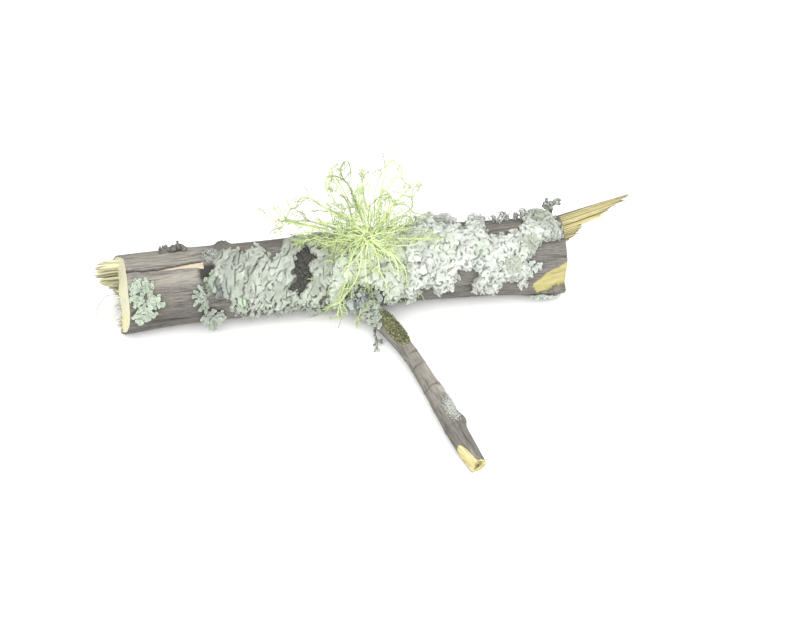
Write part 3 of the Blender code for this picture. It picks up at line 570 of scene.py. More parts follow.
def through(points, shares):
    """Places at shares from 0 to 1 of a smooth curve through the points."""
    points = np.asarray(points, float)
    spans = len(points) - 1
    place = np.clip(shares, 0, 1 - 1e-9) * spans
    first = place.astype(int)
    t = (place - first)[..., None]
    a, b, c, d = (points[np.clip(first + k, 0, spans)] for k in (-1, 0, 1, 2))
    return 0.5 * (2 * b + (c - a) * t + (2 * a - 5 * b + 4 * c - d) * t**2 + (3 * b - a - 3 * c + d) * t**3)


hair = through(LONG_HAIR, np.linspace(0, 1, 28))[None]
thin = np.full((1, 28), 0.085)
more_places, more_faces = drawn_out(hair, thin, thin, (0, 1, 0), 5)
faces += [[corner + len(places) for corner in face] for face in more_faces]
places = np.vstack([places, more_places])
hairs = add_piece("torn_hairs", places, faces, wood_finish, paint=colours(HAIR_GREY, len(places)),
                  grain=places)
for piece in (sawn_end, snapped_end, torn_fibres, hairs):
    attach(piece, "root")
    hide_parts("branch")

# ---- The long splinter at the right
# When the stick snapped, a flat bundle of yellow fibres stayed on its top at the back. It is split in steps,
# the outermost fibres reach furthest, and a strip of dark bark still runs along its upper edge.

STRAW = (0.405, 0.36, 0.17)
SPLINTER_ANGLE, SPLINTER_FLARE, SPLINTER_ROOT = 135, 0.235, 5.0
SPLINTER_REACH = [(3.6, 3.2), (4.4, 5.2), (5.0, 7.6), (6.3, 7.9), (6.5, 9.6), (7.2, 9.9), (7.4, 8.6),
                  (7.9, 9.0), (8.1, 18.2), (9.3, 19.2), (9.5, 21.2), (10.3, 21.8), (10.5, 25.6), (11.4, 25.0),
                  (12.0, 28.4), (12.9, 27.8)]  # at these distances from the stick's axis
LATH_STEPS, LATH_SIDES = 14, 6

outward = np.array([0, -math.cos(math.radians(SPLINTER_ANGLE)), math.sin(math.radians(SPLINTER_ANGLE))])
sideways = np.cross((1, 0, 0), outward)
axis_end = np.array([STICK_RIGHT, stick_axis(STICK_RIGHT), AXIS_HEIGHT])
rng = np.random.default_rng(31)
radius, across = np.meshgrid(np.arange(3.8, 12.9, 0.62), np.linspace(-1.9, 1.9, 6), indexing="ij")
radius = radius.ravel() + rng.uniform(-0.15, 0.15, radius.size)
across = across.ravel() * np.interp(radius, [3.8, 9, 12.8], [0.8, 1.0, 0.95])
across = across + rng.uniform(-0.2, 0.2, radius.size)
count = len(radius)
length = np.interp(radius, *zip(*SPLINTER_REACH)) * (1 - 0.10 * rng.uniform(0, 1, count) ** 2)
length *= 1 - 0.10 * np.abs(across) / 1.9
share = np.linspace(0, 1, LATH_STEPS)
run = np.array([1, 0, 0]) + SPLINTER_FLARE * outward
paths = (axis_end + outward * radius[:, None] + sideways * across[:, None])[:, None]
paths = paths + run * ((length + SPLINTER_ROOT)[:, None] * share - SPLINTER_ROOT)[..., None]
bend = rng.normal(0, 0.010, (count, 1)) * length[:, None] * share**2
paths = paths + sideways * bend[..., None]
shrink = 1 - 0.62 * step(share, rng.uniform(0.72, 0.93, (count, 1)), 1.0)
gathered = (radius - 11.8)[:, None] * (0.22 * share**2 * (length[:, None] > 17))  # the long ones taper
paths = paths - outward * gathered[..., None]
widths = rng.uniform(0.34, 0.52, (count, 1)) * shrink
thicknesses = rng.uniform(0.30, 0.44, (count, 1)) * shrink
places, faces = drawn_out(paths, widths, thicknesses, outward, LATH_SIDES)
tone = rng.uniform(0.72, 1.15, (count, 1))
tone[rng.uniform(0, 1, count) > 0.72] *= 0.5
paint = np.repeat(opaque(np.clip(np.array(STRAW) * tone, 0, 1)), LATH_STEPS * LATH_SIDES, axis=0)
splinter = add_piece("splinter", places, faces, wood_finish, smooth=False, paint=paint, grain=places)

share = np.linspace(0, 1, 60)
path = axis_end + outward * 13.05 + run * (share * 30.5 - 4.5)[:, None]
path = path + 0.18 * noise(path * (0.5, 0, 0), 33)[:, None] * sideways - outward * 0.5 * (share**2)[:, None]
widths = np.interp(share, [0, 0.15, 0.5, 1.0], [2.2, 1.9, 1.3, 0.25])
widths = widths * (1 + 0.22 * noise(path * (0.9, 0, 0), 34))
places, faces = drawn_out(path[None], widths[None], np.interp(share, [0, 1], [0.42, 0.16])[None], outward, 14)
splinter_bark = add_piece("splinter_bark", places, faces, bark_finish, grain=places - axis_end,
                          depth=np.full(len(places), 0.35), paint=np.zeros((len(places), 4)))
for piece in (splinter, splinter_bark):
    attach(piece, "root")
    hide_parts("branch")

# ---- The side twig
# A thinner branch grows from the front of the stick, nearly level with the table. Its bark is greyer and
# smoother, ringed where buds once stood, and its end was torn off, which bared yellow wood along one side.

TWIG_LENGTH = 81.0
TWIG_ROWS, TWIG_SIDES = 270, 72
TWIG_PATH = [(-1.5, -4.0, 7.2), (1.2, -13.0, 5.6), (7.2, -24.5, 4.5), (11.8, -34.8, 3.8), (15.6, -46.5, 3.2),
             (19.0, -58.5, 3.3), (22.3, -71.5, 3.4), (26.2, -84.2, 2.8)]
TWIG_RADII = np.array([[4.8], [3.6], [3.0], [2.8], [3.0], [3.5], [3.5], [3.0]])
TWIG_RINGS = [(33.5, 1.0), (39.0, 1.0), (49.0, 0.8), (57.5, 0.3), (66, 0.45)]  # each with its depth
TORN_FACE_AT = 75.0
FRESH_GOLD, OLD_GOLD = (0.56, 0.50, 0.235), (0.52, 0.46, 0.215)


def twig_frame(along):
    """(centre, direction, left, up, radius) of the twig at these distances from its root."""
    share = np.asarray(along) / TWIG_LENGTH
    direction = through(TWIG_PATH, share + 0.01) - through(TWIG_PATH, share - 0.01)
    direction /= np.linalg.norm(direction, axis=-1, keepdims=True)
    left = np.cross(direction, (0, 0, 1))
    left /= np.linalg.norm(left, axis=-1, keepdims=True)
    centre, radius = through(TWIG_PATH, share), through(TWIG_RADII, share)[..., 0]
    return centre, direction, left, np.cross(left, direction), radius


def on_twig(along, angle, height=0.0):
    """Places this high over the twig's bark. Angle 0 is its left side and 90 its top."""
    centre, _, left, up, radius = twig_frame(along)
    turn = np.radians(angle)
    rings = sum(np.exp(-(((along - at) / 1.1) ** 2)) for at, _ in TWIG_RINGS)
    knob = 0.30 * np.exp(-(((along - 64.5) / 2.0) ** 2)) + 0.13 * np.exp(-(((along - 50.6) / 1.6) ** 2))
    knob *= np.maximum(0, np.cos(turn - math.radians(165))) ** 3
    reach = (radius * (1 + 0.05 * rings + knob) + height)[..., None]
    return centre + reach * (left * np.cos(turn)[..., None] + up * np.sin(turn)[..., None])


angles = np.linspace(-90, 270, TWIG_SIDES, endpoint=False)
along, angle = np.meshgrid(np.linspace(3, TWIG_LENGTH, TWIG_ROWS), angles, indexing="ij")
centre, direction, left, up, radius = twig_frame(along)
skin = on_twig(along, angle)
turn = np.radians(angle)
spoke = left * np.cos(turn)[..., None] + up * np.sin(turn)[..., None]
grain = np.stack([along, 3.2 * np.cos(turn), 3.2 * np.sin(turn)], -1)
height, depth = bark_relief(grain * 1.5 + 40)
height *= 0.5
# The ring grooves are sunk and painted darker as shade.
for at, strength in TWIG_RINGS:
    wavering = along - at - 0.7 - 0.5 * noise(grain * (0, 0.4, 0.4), at) - 0.35 * np.cos(turn)
    groove = strength * np.exp(-((wavering / 0.50) ** 2))
    groove *= step(noise(grain * (0, 0.25, 0.25), at + 1), -0.55, -0.1)
    height -= 0.28 * groove
    depth = np.maximum(depth, groove)
tear_centre, tear_run, tear_left, tear_up, tear_radius = twig_frame(TORN_FACE_AT)
tear_out = tear_left * 0.90 + tear_up * 0.36 + tear_run * 0.235
tear_out /= np.linalg.norm(tear_out)
over_tear = (skin - tear_centre) @ tear_out - 0.78 * tear_radius - 0.35 * noise(grain * (0.25, 0.5, 0.5), 41)
facing = spoke @ tear_out
cut_back = np.where((facing > 0.2) & (along > 62), over_tear / np.where(facing > 0.2, facing, 1), 0)
bared = step(cut_back, 0.0, 0.15)
wood_relief = 0.22 * noise(grain * (0.12, 1.9, 1.9), 42) + 0.07 * noise(grain * (0.4, 5, 5), 43)
height = np.where(cut_back > 0, np.minimum(height, wood_relief - cut_back), height)
places = skin + spoke * height[..., None]
places[..., 2] = np.maximum(places[..., 2], 0.0)
ragged = 0.8 * noise(grain[-1:] * (0, 0.9, 0.9), 44) - 0.9
cap = places[-1:] + direction[-1:] * (ragged[..., None] + 0.9)
inner = centre[-1:] + (cap - centre[-1:]) * 0.55 - direction[-1:] * 0.5
places = np.concatenate([places, cap, inner])

# Painted highlight makes its top paler, most of all beside the rings, and there is one pale patch as well;
# its outer third is darker.
worn = 0.30 + 0.9 * np.maximum(0, noise(grain * (0.18, 0.5, 0.5), 46))
worn = step(np.sin(turn), 0.1, 0.9) * worn + 0.14
worn *= 1.1 - 0.65 * step(along, 54, 64)
worn += 0.75 * np.exp(-(((along - 52.3) / 1.7) ** 4) - ((angle - 122) / 26) ** 4)
highlight_side = 0.5 * step(angle, 105, 150) * (1 - step(angle, 175, 215))
worn += highlight_side * step(along, 33, 37) * (1 - step(along, 46, 50))
worn = np.concatenate([worn, worn[-1:], worn[-1:]])
depth += 0.22 * step(along, 55, 64) * (1 + noise(grain * (0.5, 0.7, 0.7), 47))
depth = np.concatenate([depth, depth[-1:], depth[-1:]])
gold = noise(grain * (0.15, 1.0, 1.0), 45)[..., None]
paint = np.clip(np.array([*FRESH_GOLD, 1]) + gold * (0.10, 0.14, 0.16, 0), 0, 1) * bared[..., None]
paint = np.concatenate([paint, colours(OLD_GOLD, 2 * TWIG_SIDES).reshape(2, TWIG_SIDES, 4)])
grain = np.concatenate([grain, grain[-1:], grain[-1:] * (1, 0.5, 0.5)])
corners = list(range(len(places) * TWIG_SIDES))
faces = grid(*places.shape[:2], closed=True).tolist() + [corners[:TWIG_SIDES][::-1], corners[-TWIG_SIDES:]]
side_twig = add_piece("side_twig_bark", places.reshape(-1, 3), faces, bark_finish, grain=grain.reshape(-1, 3),
                      depth=0.85 * depth.reshape(-1), paint=paint.reshape(-1, 4), worn=worn.reshape(-1))
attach(side_twig, "root")
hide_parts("side_twig")

# ---- The leafy lichens on the stick
# Leafy lichens cover most of the front: thin, papery lobes in grey and green that grow outwards from many
# small rosettes and overlap like shingles. Their scalloped margins are turned up, and their undersides hold
# the bark.

AROUND = math.radians(1) * STICK_RADIUS  # millimetres round the stick for one degree
SHEET_STEP = 0.2  # between the places of a folded sheet
SAGE, MINT, PALE, SLATE = (0.28, 0.305, 0.255), (0.27, 0.335, 0.245), (0.41, 0.43, 0.39), (0.19, 0.205, 0.20)

# The outlines of the colonies, and of the gap in the left one, as (along, angle) on the stick.
BLACK_CRUST = [(-20.6, 84), (-22.6, 77), (-24.7, 68), (-24.2, 60), (-25.9, 47), (-24.3, 40), (-25.6, 33),
               (-28, 23), (-25.2, 18), (-24.2, 10), (-23, 19), (-21, 29), (-19.6, 39), (-20.6, 51), (-20, 59),
               (-18.4, 65)]
LEFT = [(-50.8, 90), (-52.6, 72), (-52.6, 60), (-55.4, 50), (-55.2, 38), (-53.4, 25), (-50.4, 21), (-48, 12),
        (-47.8, -8), (-43.8, -24), (-40, -31), (-36.1, -21), (-29.9, -24), (-24.1, -27), (-21.8, -18),
        (-19.6, -36), (-16.2, -16), (-15.2, 4), (-13.7, 28), (-12.7, 42), (-10.6, 65), (-9.6, 88),
        (-10.4, 108), (-16, 118), (-22, 114), (-27.7, 105), (-29.3, 90), (-30.9, 72), (-32.4, 66),
        (-33.6, 78), (-34.6, 88), (-35.9, 97), (-38.6, 94), (-40.9, 91), (-43, 82), (-44.3, 92), (-47.3, 96)]
MIDDLE = [(-9.4, 110), (-10.4, 86), (-10.8, 65), (-12.6, 42), (-13.6, 28), (-14.8, 4), (-15.0, -12),
          (-12.8, -26), (-10.2, -26), (-9.7, -12), (-9.4, 12), (-7, 20), (-2.4, 19), (2.6, 14), (5, 2),
          (6, -14), (8, -23), (9.8, -18), (11.0, -2), (12.4, 14), (13.2, 28), (13.6, 46), (13.4, 74),
          (14.4, 100), (10, 118), (3.8, 112), (-1.8, 118)]
RIGHT = [(11.9, 8), (12.2, -6), (14.6, -16), (17, 4), (20.5, 9), (22.6, -4), (25.8, -7), (29.4, 2),
         (30.5, 24), (32.6, 29), (36, 28.5), (38, 24), (37.4, 16), (36.2, 9), (35.9, 0), (37, -9),
         (39.4, -13), (42.7, -22), (44.9, -8), (47.3, 8), (51.2, 7), (53.3, -6), (54.5, 2), (55.2, 14),
         (56.2, 25), (54.8, 33), (55.6, 41), (58.2, 49), (60.4, 60), (64.5, 64), (68, 67), (67.8, 82),
         (66.4, 106), (64.4, 126), (61.4, 131), (58.8, 132), (57.4, 120), (56.6, 105), (54.6, 90), (51.4, 80),
         (46.6, 76), (42.6, 79), (41.8, 98), (41, 122), (38.6, 134), (36.6, 116), (34.8, 94), (33.5, 104),
         (32.2, 126), (29, 136), (24, 134), (17, 118), (13.8, 98), (12.7, 70), (13, 40)]
FORK = [(-8.5, -4), (-8.3, -20), (-6.6, -26), (-5, -12), (-1.2, -1), (2.4, -2), (3.2, 5), (-2.8, 11),
        (-7.6, 12)]

leafy_finish, leafy_shader, place = finish("leafy_lichen", 0.82)
mottled = place.noise(0.8, 4, 0.6)
grains = place.noise(4.5, 3, 0.6)
flecks = place.noise(1.9, 3, 0.75)
leafy_colour = place.attribute("paint", "Color")
leafy_colour = leafy_colour.mixed((0.13, 0.14, 0.12, 1), ((0.45 - flecks) * 7.0).clamped() * 0.40)
leafy_colour = leafy_colour.mixed((0.62, 0.64, 0.58, 1), ((flecks - 0.56) * 7.0).clamped() * 0.30)
leafy_colour = leafy_colour.mixed((0.20, 0.26, 0.18, 1), ((mottled - 0.53) * 3.5).clamped() * 0.35)
leafy_colour = leafy_colour.mixed((0.78, 0.80, 0.74, 1), ((grains - 0.58) * 4.0).clamped() * 0.35)
feed(leafy_shader, "Base Color", leafy_colour)
feed_bump(leafy_shader, grains * 0.5 + mottled * 0.5, 0.2, 0.5)


def closed_outline(controls):
    """A smooth closed outline, in millimetres along the bark and round it, through controls in degrees."""
    points = [(x, angle * AROUND) for x, angle in controls]
    shares = (1 + np.arange(600) * len(points) / 600) / (len(points) + 2)
    return through([points[-1], *points, *points[:2]], shares)


def nearest(spots, others):
    """(distance, number) of the nearest of the others to each flat spot."""
    distance = np.linalg.norm(spots[:, None] - others[None], axis=-1)
    return distance.min(1), distance.argmin(1)


def inside(spots, outline):
    """Which of the flat spots lie inside an outline."""
    found = np.zeros(len(spots), bool)
    for (ax, ay), (bx, by) in zip(outline, np.roll(outline, -1, 0)):
        crosses = (ay > spots[:, 1]) != (by > spots[:, 1])
        found ^= crosses & (spots[:, 0] < ax + (spots[:, 1] - ay) * (bx - ax) / (by - ay + 1e-12))
    return found


def scattered(outline, spacing, inset, rng):
    """Flat spots about this far apart and at least so far inside an outline."""
    low, high = outline.min(0), outline.max(0)
    x, y = np.meshgrid(np.arange(low[0], high[0], spacing), np.arange(low[1], high[1], spacing * 0.87))
    x[1::2] += spacing / 2
    spots = np.stack([x, y], -1).reshape(-1, 2)
    spots += rng.uniform(-0.32, 0.32, spots.shape) * spacing
    spots = spots[inside(spots, outline)]
    return spots[nearest(spots, outline)[0] > inset]


def shells(tops, thickness):
    """(places, faces) of closed sheets this thick, from their upper sides as (sheet, row, column, xyz)."""
    sheets, rows, columns = tops.shape[:3]
    normal = np.cross(np.gradient(tops, axis=1), np.gradient(tops, axis=2))
    normal /= np.linalg.norm(normal, axis=-1, keepdims=True) + 1e-9
    both = np.stack([tops, tops - normal * thickness], 1)
    index = np.arange(rows * columns).reshape(rows, columns)
    rim = np.concatenate([index[0, :-1], index[:-1, -1], index[-1, :0:-1], index[:0:-1, 0]])
    under = rim + rows * columns
    edge = np.stack([rim, np.roll(rim, -1), np.roll(under, -1), under], -1)
    one = np.concatenate([grid(rows, columns), grid(rows, columns)[:, ::-1] + rows * columns, edge])
    faces = one + (np.arange(sheets) * 2 * rows * columns)[:, None, None]
    return both.reshape(-1, 3), faces.reshape(-1, 4)


def each(low, high, count, rng):
    """A random number for each of the lobes or strands."""
    return rng.uniform(low, high, (count, 1, 1))


def fans(spots, headings, lengths, spreads, lifts, curls, rows, columns, rng):
    """Upper sides of fan-shaped lobes, (lobe, row, column, flat place), and their share to the rim."""
    count = len(spots)
    headings, lengths, spreads, lifts, curls = (
        np.broadcast_to(values, count)[:, None, None] for values in (headings, lengths, spreads, lifts, curls)
    )
    across = np.linspace(-1, 1, columns)[None, None]
    share = (1 - (1 - np.linspace(0.04, 1, rows)) ** 1.3)[None, :, None]
    lobules = np.maximum(1, np.round(2 * spreads * lengths / 1.6))
    start = each(0, 3.1, count, rng)
    scallop = 0.80 + 0.20 * np.abs(np.cos(lobules * np.pi * across / 2 + start)) ** 0.6
    wave = np.sin(across * each(1, 3, count, rng) + each(0, 6.3, count, rng))
    rim = step(share, 0.55, 1.0) ** 2 * (0.75 + 0.25 * wave)
    reach = lengths * share * (1 + (scallop - 1) * share**2) * (1 - 0.22 * across**4) - 0.5 * curls * rim
    angle = headings + spreads * across * (0.7 + 0.3 * share) + each(-0.5, 0.5, count, rng) * share
    height = lifts * share**1.4 + curls * rim + each(0.0, 0.35, count, rng) * across**2 * share
    wave = np.sin(across * each(2.0, 5.0, count, rng) + each(0, 6.3, count, rng))
    height = height + 0.16 * lengths * share**2 * wave
    flat = spots[:, None, None] + reach[..., None] * np.stack([np.cos(angle), np.sin(angle)], -1)
    flat -= (0.35 * lengths)[..., None] * np.stack([np.cos(headings), np.sin(headings)], -1)
    return np.concatenate([flat, height[..., None]], -1), share + 0 * across + 0 * headings


def ribbons(paths, widths, lifts, cup, rows, columns, rng):
    """Upper sides of narrow lobes with round tips along flat paths, and their share to the rim."""
    paths = np.array([through(path, np.linspace(0, 1, rows)) for path in paths])
    count = len(paths)
    run = np.gradient(paths, axis=1)
    run /= np.linalg.norm(run, axis=-1, keepdims=True)
    side = np.stack([run[..., 1], -run[..., 0]], -1)
    share = np.linspace(0, 1, rows)[None, :, None]
    across = np.linspace(-1, 1, columns)[None, None]
    tip = np.sqrt(np.clip(1 - np.clip((share - 0.78) / 0.225, 0, 1) ** 2, 0, 1))
    ripple = np.sin(share * each(9, 16, count, rng) + each(0, 6.3, count, rng) + 2 * across)
    wide = widths[:, None, None] * (0.62 + 0.38 * share) * tip * (1 + 0.20 * ripple)
    flat = paths[:, :, None] - side[:, :, None] * (wide * across)[..., None]
    height = lifts[:, None, None] * share**1.5 + cup * across**2 * tip * (0.4 + 0.6 * share)
    height = height + 0.15 * np.sin(share * each(5, 9, count, rng) + 6.3 * each(0, 1, count, rng))
    rim = np.maximum(np.abs(across) ** 1.5, step(share, 0.8, 1.0)) * (0.3 + 0.7 * share)
    return np.concatenate([flat, height[..., None]], -1), np.clip(0.3 + 0.7 * rim * share + 0.3 * share, 0, 1)


def around_stick(flat):
    """Flat places, (along, round, height), laid on the stick."""
    return on_stick(flat[..., 0], flat[..., 1] / AROUND, flat[..., 2])


def leafy_piece(name, node, flat, share, body, wrap=around_stick, thickness=0.2):
    """Joins lobes into one piece, with painted shade at their roots, a painted highlight on their rims, and
    darker below.
    """
    places, faces = shells(wrap(flat), thickness)
    body = np.broadcast_to(body, (len(flat), 3))[:, None, None]
    shade = 0.55 + 0.45 * step(share, 0.05, 0.62)[..., None]
    rim = step(share, 0.80, 0.97)[..., None] * 0.6
    top = body * (shade * (1 - rim) + 1.25 * rim)
    paint = np.stack([top, top * 0.7], 1).reshape(-1, 3)
    piece = add_piece(name, places, faces.tolist(), leafy_finish, paint=opaque(paint))
    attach(piece, "root")
    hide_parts(node)


def flat_noise(spots, seed):
    """Smooth noise at flat spots."""
    return noise(np.hstack([spots, 0 * spots[:, :1]]), seed)


def tinted(spots, body, tints, rng):
    """A colour for each spot: the body colour, with other colours round some places, and a little uneven."""
    body = np.tile(np.asarray(body, float), (len(spots), 1))
    for x, angle, size, colour in tints:
        far = np.linalg.norm(spots - (x, angle * AROUND), axis=-1)
        share = np.exp(-((far / size) ** 2))[:, None]
        body = body * (1 - share) + np.array(colour) * share
    patchy = 1 + 0.25 * flat_noise(spots / 5, 49)[:, None]
    return np.clip(body * patchy * rng.uniform(0.86, 1.12, (len(spots), 1)), 0, 1)


def from_path(spots, path):
    """(distance from a flat path, share along it) of each spot."""
    run = np.diff(path, axis=0)
    from_start = spots[..., None, :] - path[:-1]
    part = np.clip((from_start * run).sum(-1) / (run * run).sum(-1), 0, 1)
    distance = np.linalg.norm(from_start - part[..., None] * run, axis=-1)
    number = distance.argmin(-1)
    return distance.min(-1), (number + np.take_along_axis(part, number[..., None], -1)[..., 0]) / len(run)


def averaged(heights, reach):
    """Heights averaged over a square that reaches this many steps each way."""
    for axis in (0, 1):
        heights = sum(np.roll(heights, shift, axis) for shift in range(-reach, reach + 1)) / (2 * reach + 1)
    return heights


def folded(name, node, controls, lobes, body, seed, grooves, dome, hole=None, warp=1.0, dark=0.5, valley_shade=0.3):
    """One sheet of flat lobes, given as their paths, widths, heights and rises.

    Where lobes overlap, the higher one is seen.
    """
    paths = lobes[0]
    rng = np.random.default_rng(seed)
    low = paths.min((0, 1)) - 2.5
    size = np.ceil((paths.max((0, 1)) + 2.5 - low) / SHEET_STEP).astype(int)
    height, share, tone = np.full(size, -0.2), np.ones(size), np.zeros((*size, 3))
    flat = low + np.stack(np.meshgrid(*(np.arange(n) for n in size), indexing="ij"), -1) * SHEET_STEP
    across = np.concatenate([flat, 0 * flat[..., :1] + seed], -1)
    bent = flat + warp * np.stack([noise(across * 0.33, 42), noise(across * 0.33, 43)], -1)
    bent = bent + 0.45 * warp * np.stack([noise(across * 1.0, 44), noise(across * 1.0, 45)], -1)

    def window(path, reach):
        first = np.floor((path.min(0) - reach - low) / SHEET_STEP).astype(int).clip(0)
        last = np.ceil((path.max(0) + reach - low) / SHEET_STEP).astype(int) + 1
        return slice(first[0], last[0]), slice(first[1], last[1])

    for path, width, base, rise, colour in zip(*lobes, body):
        part = window(path, width * 1.2 + warp)
        distance, along = from_path(bent[part], path)
        wave = 1 + 0.16 * np.sin(along * rng.uniform(6, 13) + rng.uniform(0, 6.3))
        from_middle = distance / (width * (0.6 + 0.4 * along) * wave)
        curl = 0.14 * np.exp(-(((from_middle - 0.75) / 0.2) ** 2)) * (0.3 + 0.7 * along)
        lobe = base + rise * along**1.2 + curl + dome * (1 - np.clip(from_middle, 0, 1) ** 2)
        lobe = lobe * (1 - np.clip(from_middle, 0, 1) ** 7)
        above = (from_middle < 1) & (lobe > height[part])
        height[part] = np.where(above, lobe, height[part])
        share[part] = np.where(above, from_middle, share[part])
        colour = np.array(colour) * (0.9 + 0.2 * along[..., None])
        tone[part] = np.where(above[..., None], colour, tone[part])

    cut, lip = np.zeros(size), np.zeros(size)  # grooves, and the raised lips on both sides of them
    for path, half in grooves:
        part = window(path, 3 * half + 1)
        distance, along = from_path(flat[part], path)
        taper = np.sin(np.pi * np.clip(along, 0.04, 0.96)) ** 0.5
        cut[part] = np.maximum(cut[part], np.exp(-((distance / half) ** 2)) * taper)
        lip[part] = np.maximum(lip[part], np.exp(-(((distance - 1.8 * half - 0.25) / 0.25) ** 2)) * taper)

    wobble = flat + 0.8 * np.stack([noise(across * 0.55, 46), noise(across * 0.55, 47)], -1)
    outline = closed_outline(controls)
    kept = inside(wobble.reshape(-1, 2), outline).reshape(size) & (height > 0)
    margin = nearest(wobble.reshape(-1, 2), outline[::4])[0].reshape(size)
    if hole is not None:
        kept &= ~inside(wobble.reshape(-1, 2), hole).reshape(size)
        margin = np.minimum(margin, nearest(wobble.reshape(-1, 2), hole[::4])[0].reshape(size))
    height = np.where(kept, height * step(margin, 0, 0.9), 0)
    height = height + 0.05 * noise(wobble.repeat(2, -1)[..., :3] * 2.2, 48)
    # Painted shade darkens the creases, the broad valleys, the lobe margins and the grooves; a painted
    # highlight lightens the rims and the lips beside the grooves.
    close = averaged(height, 5)
    crease = step(close - height, -0.03, 0.32)[..., None]
    valley = step(averaged(close, 12) - height, 0.05, 0.9)[..., None]
    rim = (np.exp(-(((share - 0.72) / 0.2) ** 2)) * 0.13)[..., None]
    paint = tone * (1 + rim + 0.12 * lip[..., None]) * (1 - dark * crease)
    paint *= (1 - 0.5 * step(share, 0.86, 1.0)[..., None]) * (1 - 0.78 * cut[..., None]) * (1 - valley_shade * valley)

    # The sheet is cut out one step wider than its outline, and that edge is sunk in the bark and painted near
    # black as shade.
    height = np.where(kept, np.maximum(height + 0.2 * lip - 0.4 * cut, 0.03), -0.25)
    wider = kept.copy()
    for axis in (0, 1):
        wider |= np.roll(wider, 1, axis) | np.roll(wider, -1, axis)
    number = np.cumsum(wider.ravel()) - 1
    faces = grid(*size)
    faces = number[faces[wider.ravel()[faces].all(1)]]
    places = around_stick(np.concatenate([flat, height[..., None]], -1))[wider]
    paint = opaque(np.clip(np.where(kept[..., None], paint, 0.06)[wider], 0, 1))
    piece = add_piece(name, places, faces.tolist(), leafy_finish, paint=paint)
    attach(piece, "root")
    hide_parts(node)


def flowing(spots, headings, lengths, bends):
    """Curved flat paths through the spots: bends are how far each turns from its start to its tip."""
    share = np.linspace(0, 1, 9)
    turn = headings[:, None] + bends[:, None] * (share - 0.5)
    steps = np.stack([np.cos(turn), np.sin(turn)], -1) * (lengths[:, None, None] / 8)
    paths = np.cumsum(steps, 1)
    return spots[:, None] + paths - paths[:, 4:5]


def fringe(name, controls, sizes, body, seed, mesh, tints=(), hole=None, band=1.6, inner=0.0):
    """Free lobes that stand up along the margin of a colony, and a share of them inside it.

    The sizes are the length of a lobe, the distance between lobes, their spread, lift and curl.
    """
    size, spacing, spread, lift, curl = sizes
    rng = np.random.default_rng(seed)
    outline = closed_outline(controls)
    spots = scattered(outline, spacing, 0.1, rng)
    if hole is not None:
        spots = spots[(nearest(spots, hole)[0] > 0.5) & ~inside(spots, hole)]
        outline = np.concatenate([outline, hole])
    from_edge, edge = nearest(spots, outline)
    chosen = (from_edge < band) | (rng.uniform(0, 1, len(spots)) < inner)
    spots, from_edge, edge = spots[chosen], from_edge[chosen], edge[chosen]
    away = (outline[edge] - spots) / (from_edge + 0.01)[:, None]
    count = len(spots)
    headings = np.arctan2(away[:, 1], away[:, 0]) + rng.normal(0, 0.6, count)
    headings = np.where(from_edge < band, headings, rng.uniform(0, 6.3, count))
    lengths, spreads = size * rng.uniform(0.6, 1.35, count), spread * rng.uniform(0.5, 1.3, count)
    lifts, curls = lift * rng.uniform(0.2, 1.5, count), curl * rng.uniform(0, 1.4, count)
    flat, share = fans(spots, headings, lengths, spreads, lifts, curls, *mesh, rng)
    raised = 0.25 + np.where(from_edge < band, 0, 0.9) + rng.uniform(0, 0.45, count)
    flat[..., 2] += raised[:, None, None] * (0.35 + 0.65 * step(share, 0, 0.4))
    leafy_piece(name + "_fringe", name, flat, share, tinted(spots, body, tints, rng))


def lobe_scale(spots, low, high):
    """How large lobes are: half at the bottom of the stick, and whole higher up."""
    return np.interp(spots[:, 1] / AROUND, [low, high], [0.5, 1.0])


# The left colony is sage green, with lobes and furrows that lean to the right.
GRAIN_OF_LEFT = math.radians(66)
# The last two tints lighten the bottom front of the colony, painted light against the shade there.
TINTS = [(-51.4, 37, 3.4, (0.10, 0.107, 0.108)), (-54, 50, 2.0, MINT), (-44, 26, 3.5, MINT),
         (-13, 100, 6, PALE), (-36, 78, 4, (0.34, 0.37, 0.32)), (-47, 66, 4, (0.22, 0.235, 0.205)),
         (-41, 44, 3, (0.24, 0.255, 0.215)), (-33, 30, 3, (0.24, 0.255, 0.215)),
         (-30, 56, 4, (0.33, 0.36, 0.31)), (-20, 5, 5, (0.33, 0.37, 0.30)), (-34, 0, 5, (0.33, 0.37, 0.31))]
hole = closed_outline(BLACK_CRUST)
rng = np.random.default_rng(50)
marks = scattered(closed_outline(LEFT), 4.3, 0.8, rng)
count = len(marks)
headings = GRAIN_OF_LEFT + rng.normal(0, 0.45, count)
lengths = rng.uniform(1.6, 7.0, count) * lobe_scale(marks, -5, 22)
grooves = flowing(marks, headings, lengths, rng.normal(0, 1.3, count))
grooves = [(path, rng.uniform(0.12, 0.28)) for path in grooves]
spots = scattered(closed_outline(LEFT), 2.1, 0.3, rng)
count = len(spots)
scale = lobe_scale(spots, -5, 22)
headings = GRAIN_OF_LEFT + 0.9 * flat_noise(spots / 9, 51) + rng.normal(0, 0.28, count)
headings = headings + math.pi * (rng.uniform(0, 1, count) > 0.3)
paths = flowing(spots, headings, scale * rng.uniform(4.5, 11.0, count), rng.normal(0, 1.3, count))
lean = spots @ np.array([[0.91, 0.41], [-0.41, 0.91]]) / (2.9, 12)
cushion = 0.5 + 0.5 * flat_noise(lean, 52)
widths, heights = scale * rng.uniform(0.95, 1.7, count), 0.1 + 1.3 * scale * cushion
lobes = (paths, widths, heights, rng.uniform(0.1, 0.6, count))
body = tinted(spots, (0.268, 0.287, 0.246), TINTS, rng)
folded("left_lichen_folds", "left_leafy_lichen", LEFT, lobes, body, 53, grooves, dome=0.5, hole=hole,
       warp=1.2, dark=0.75, valley_shade=0.62)
fringe("left_leafy_lichen", LEFT, (2.2, 1.9, 0.5, 0.6, 0.4), (0.27, 0.295, 0.245), 54, (7, 10), TINTS, hole,
       band=1.3)

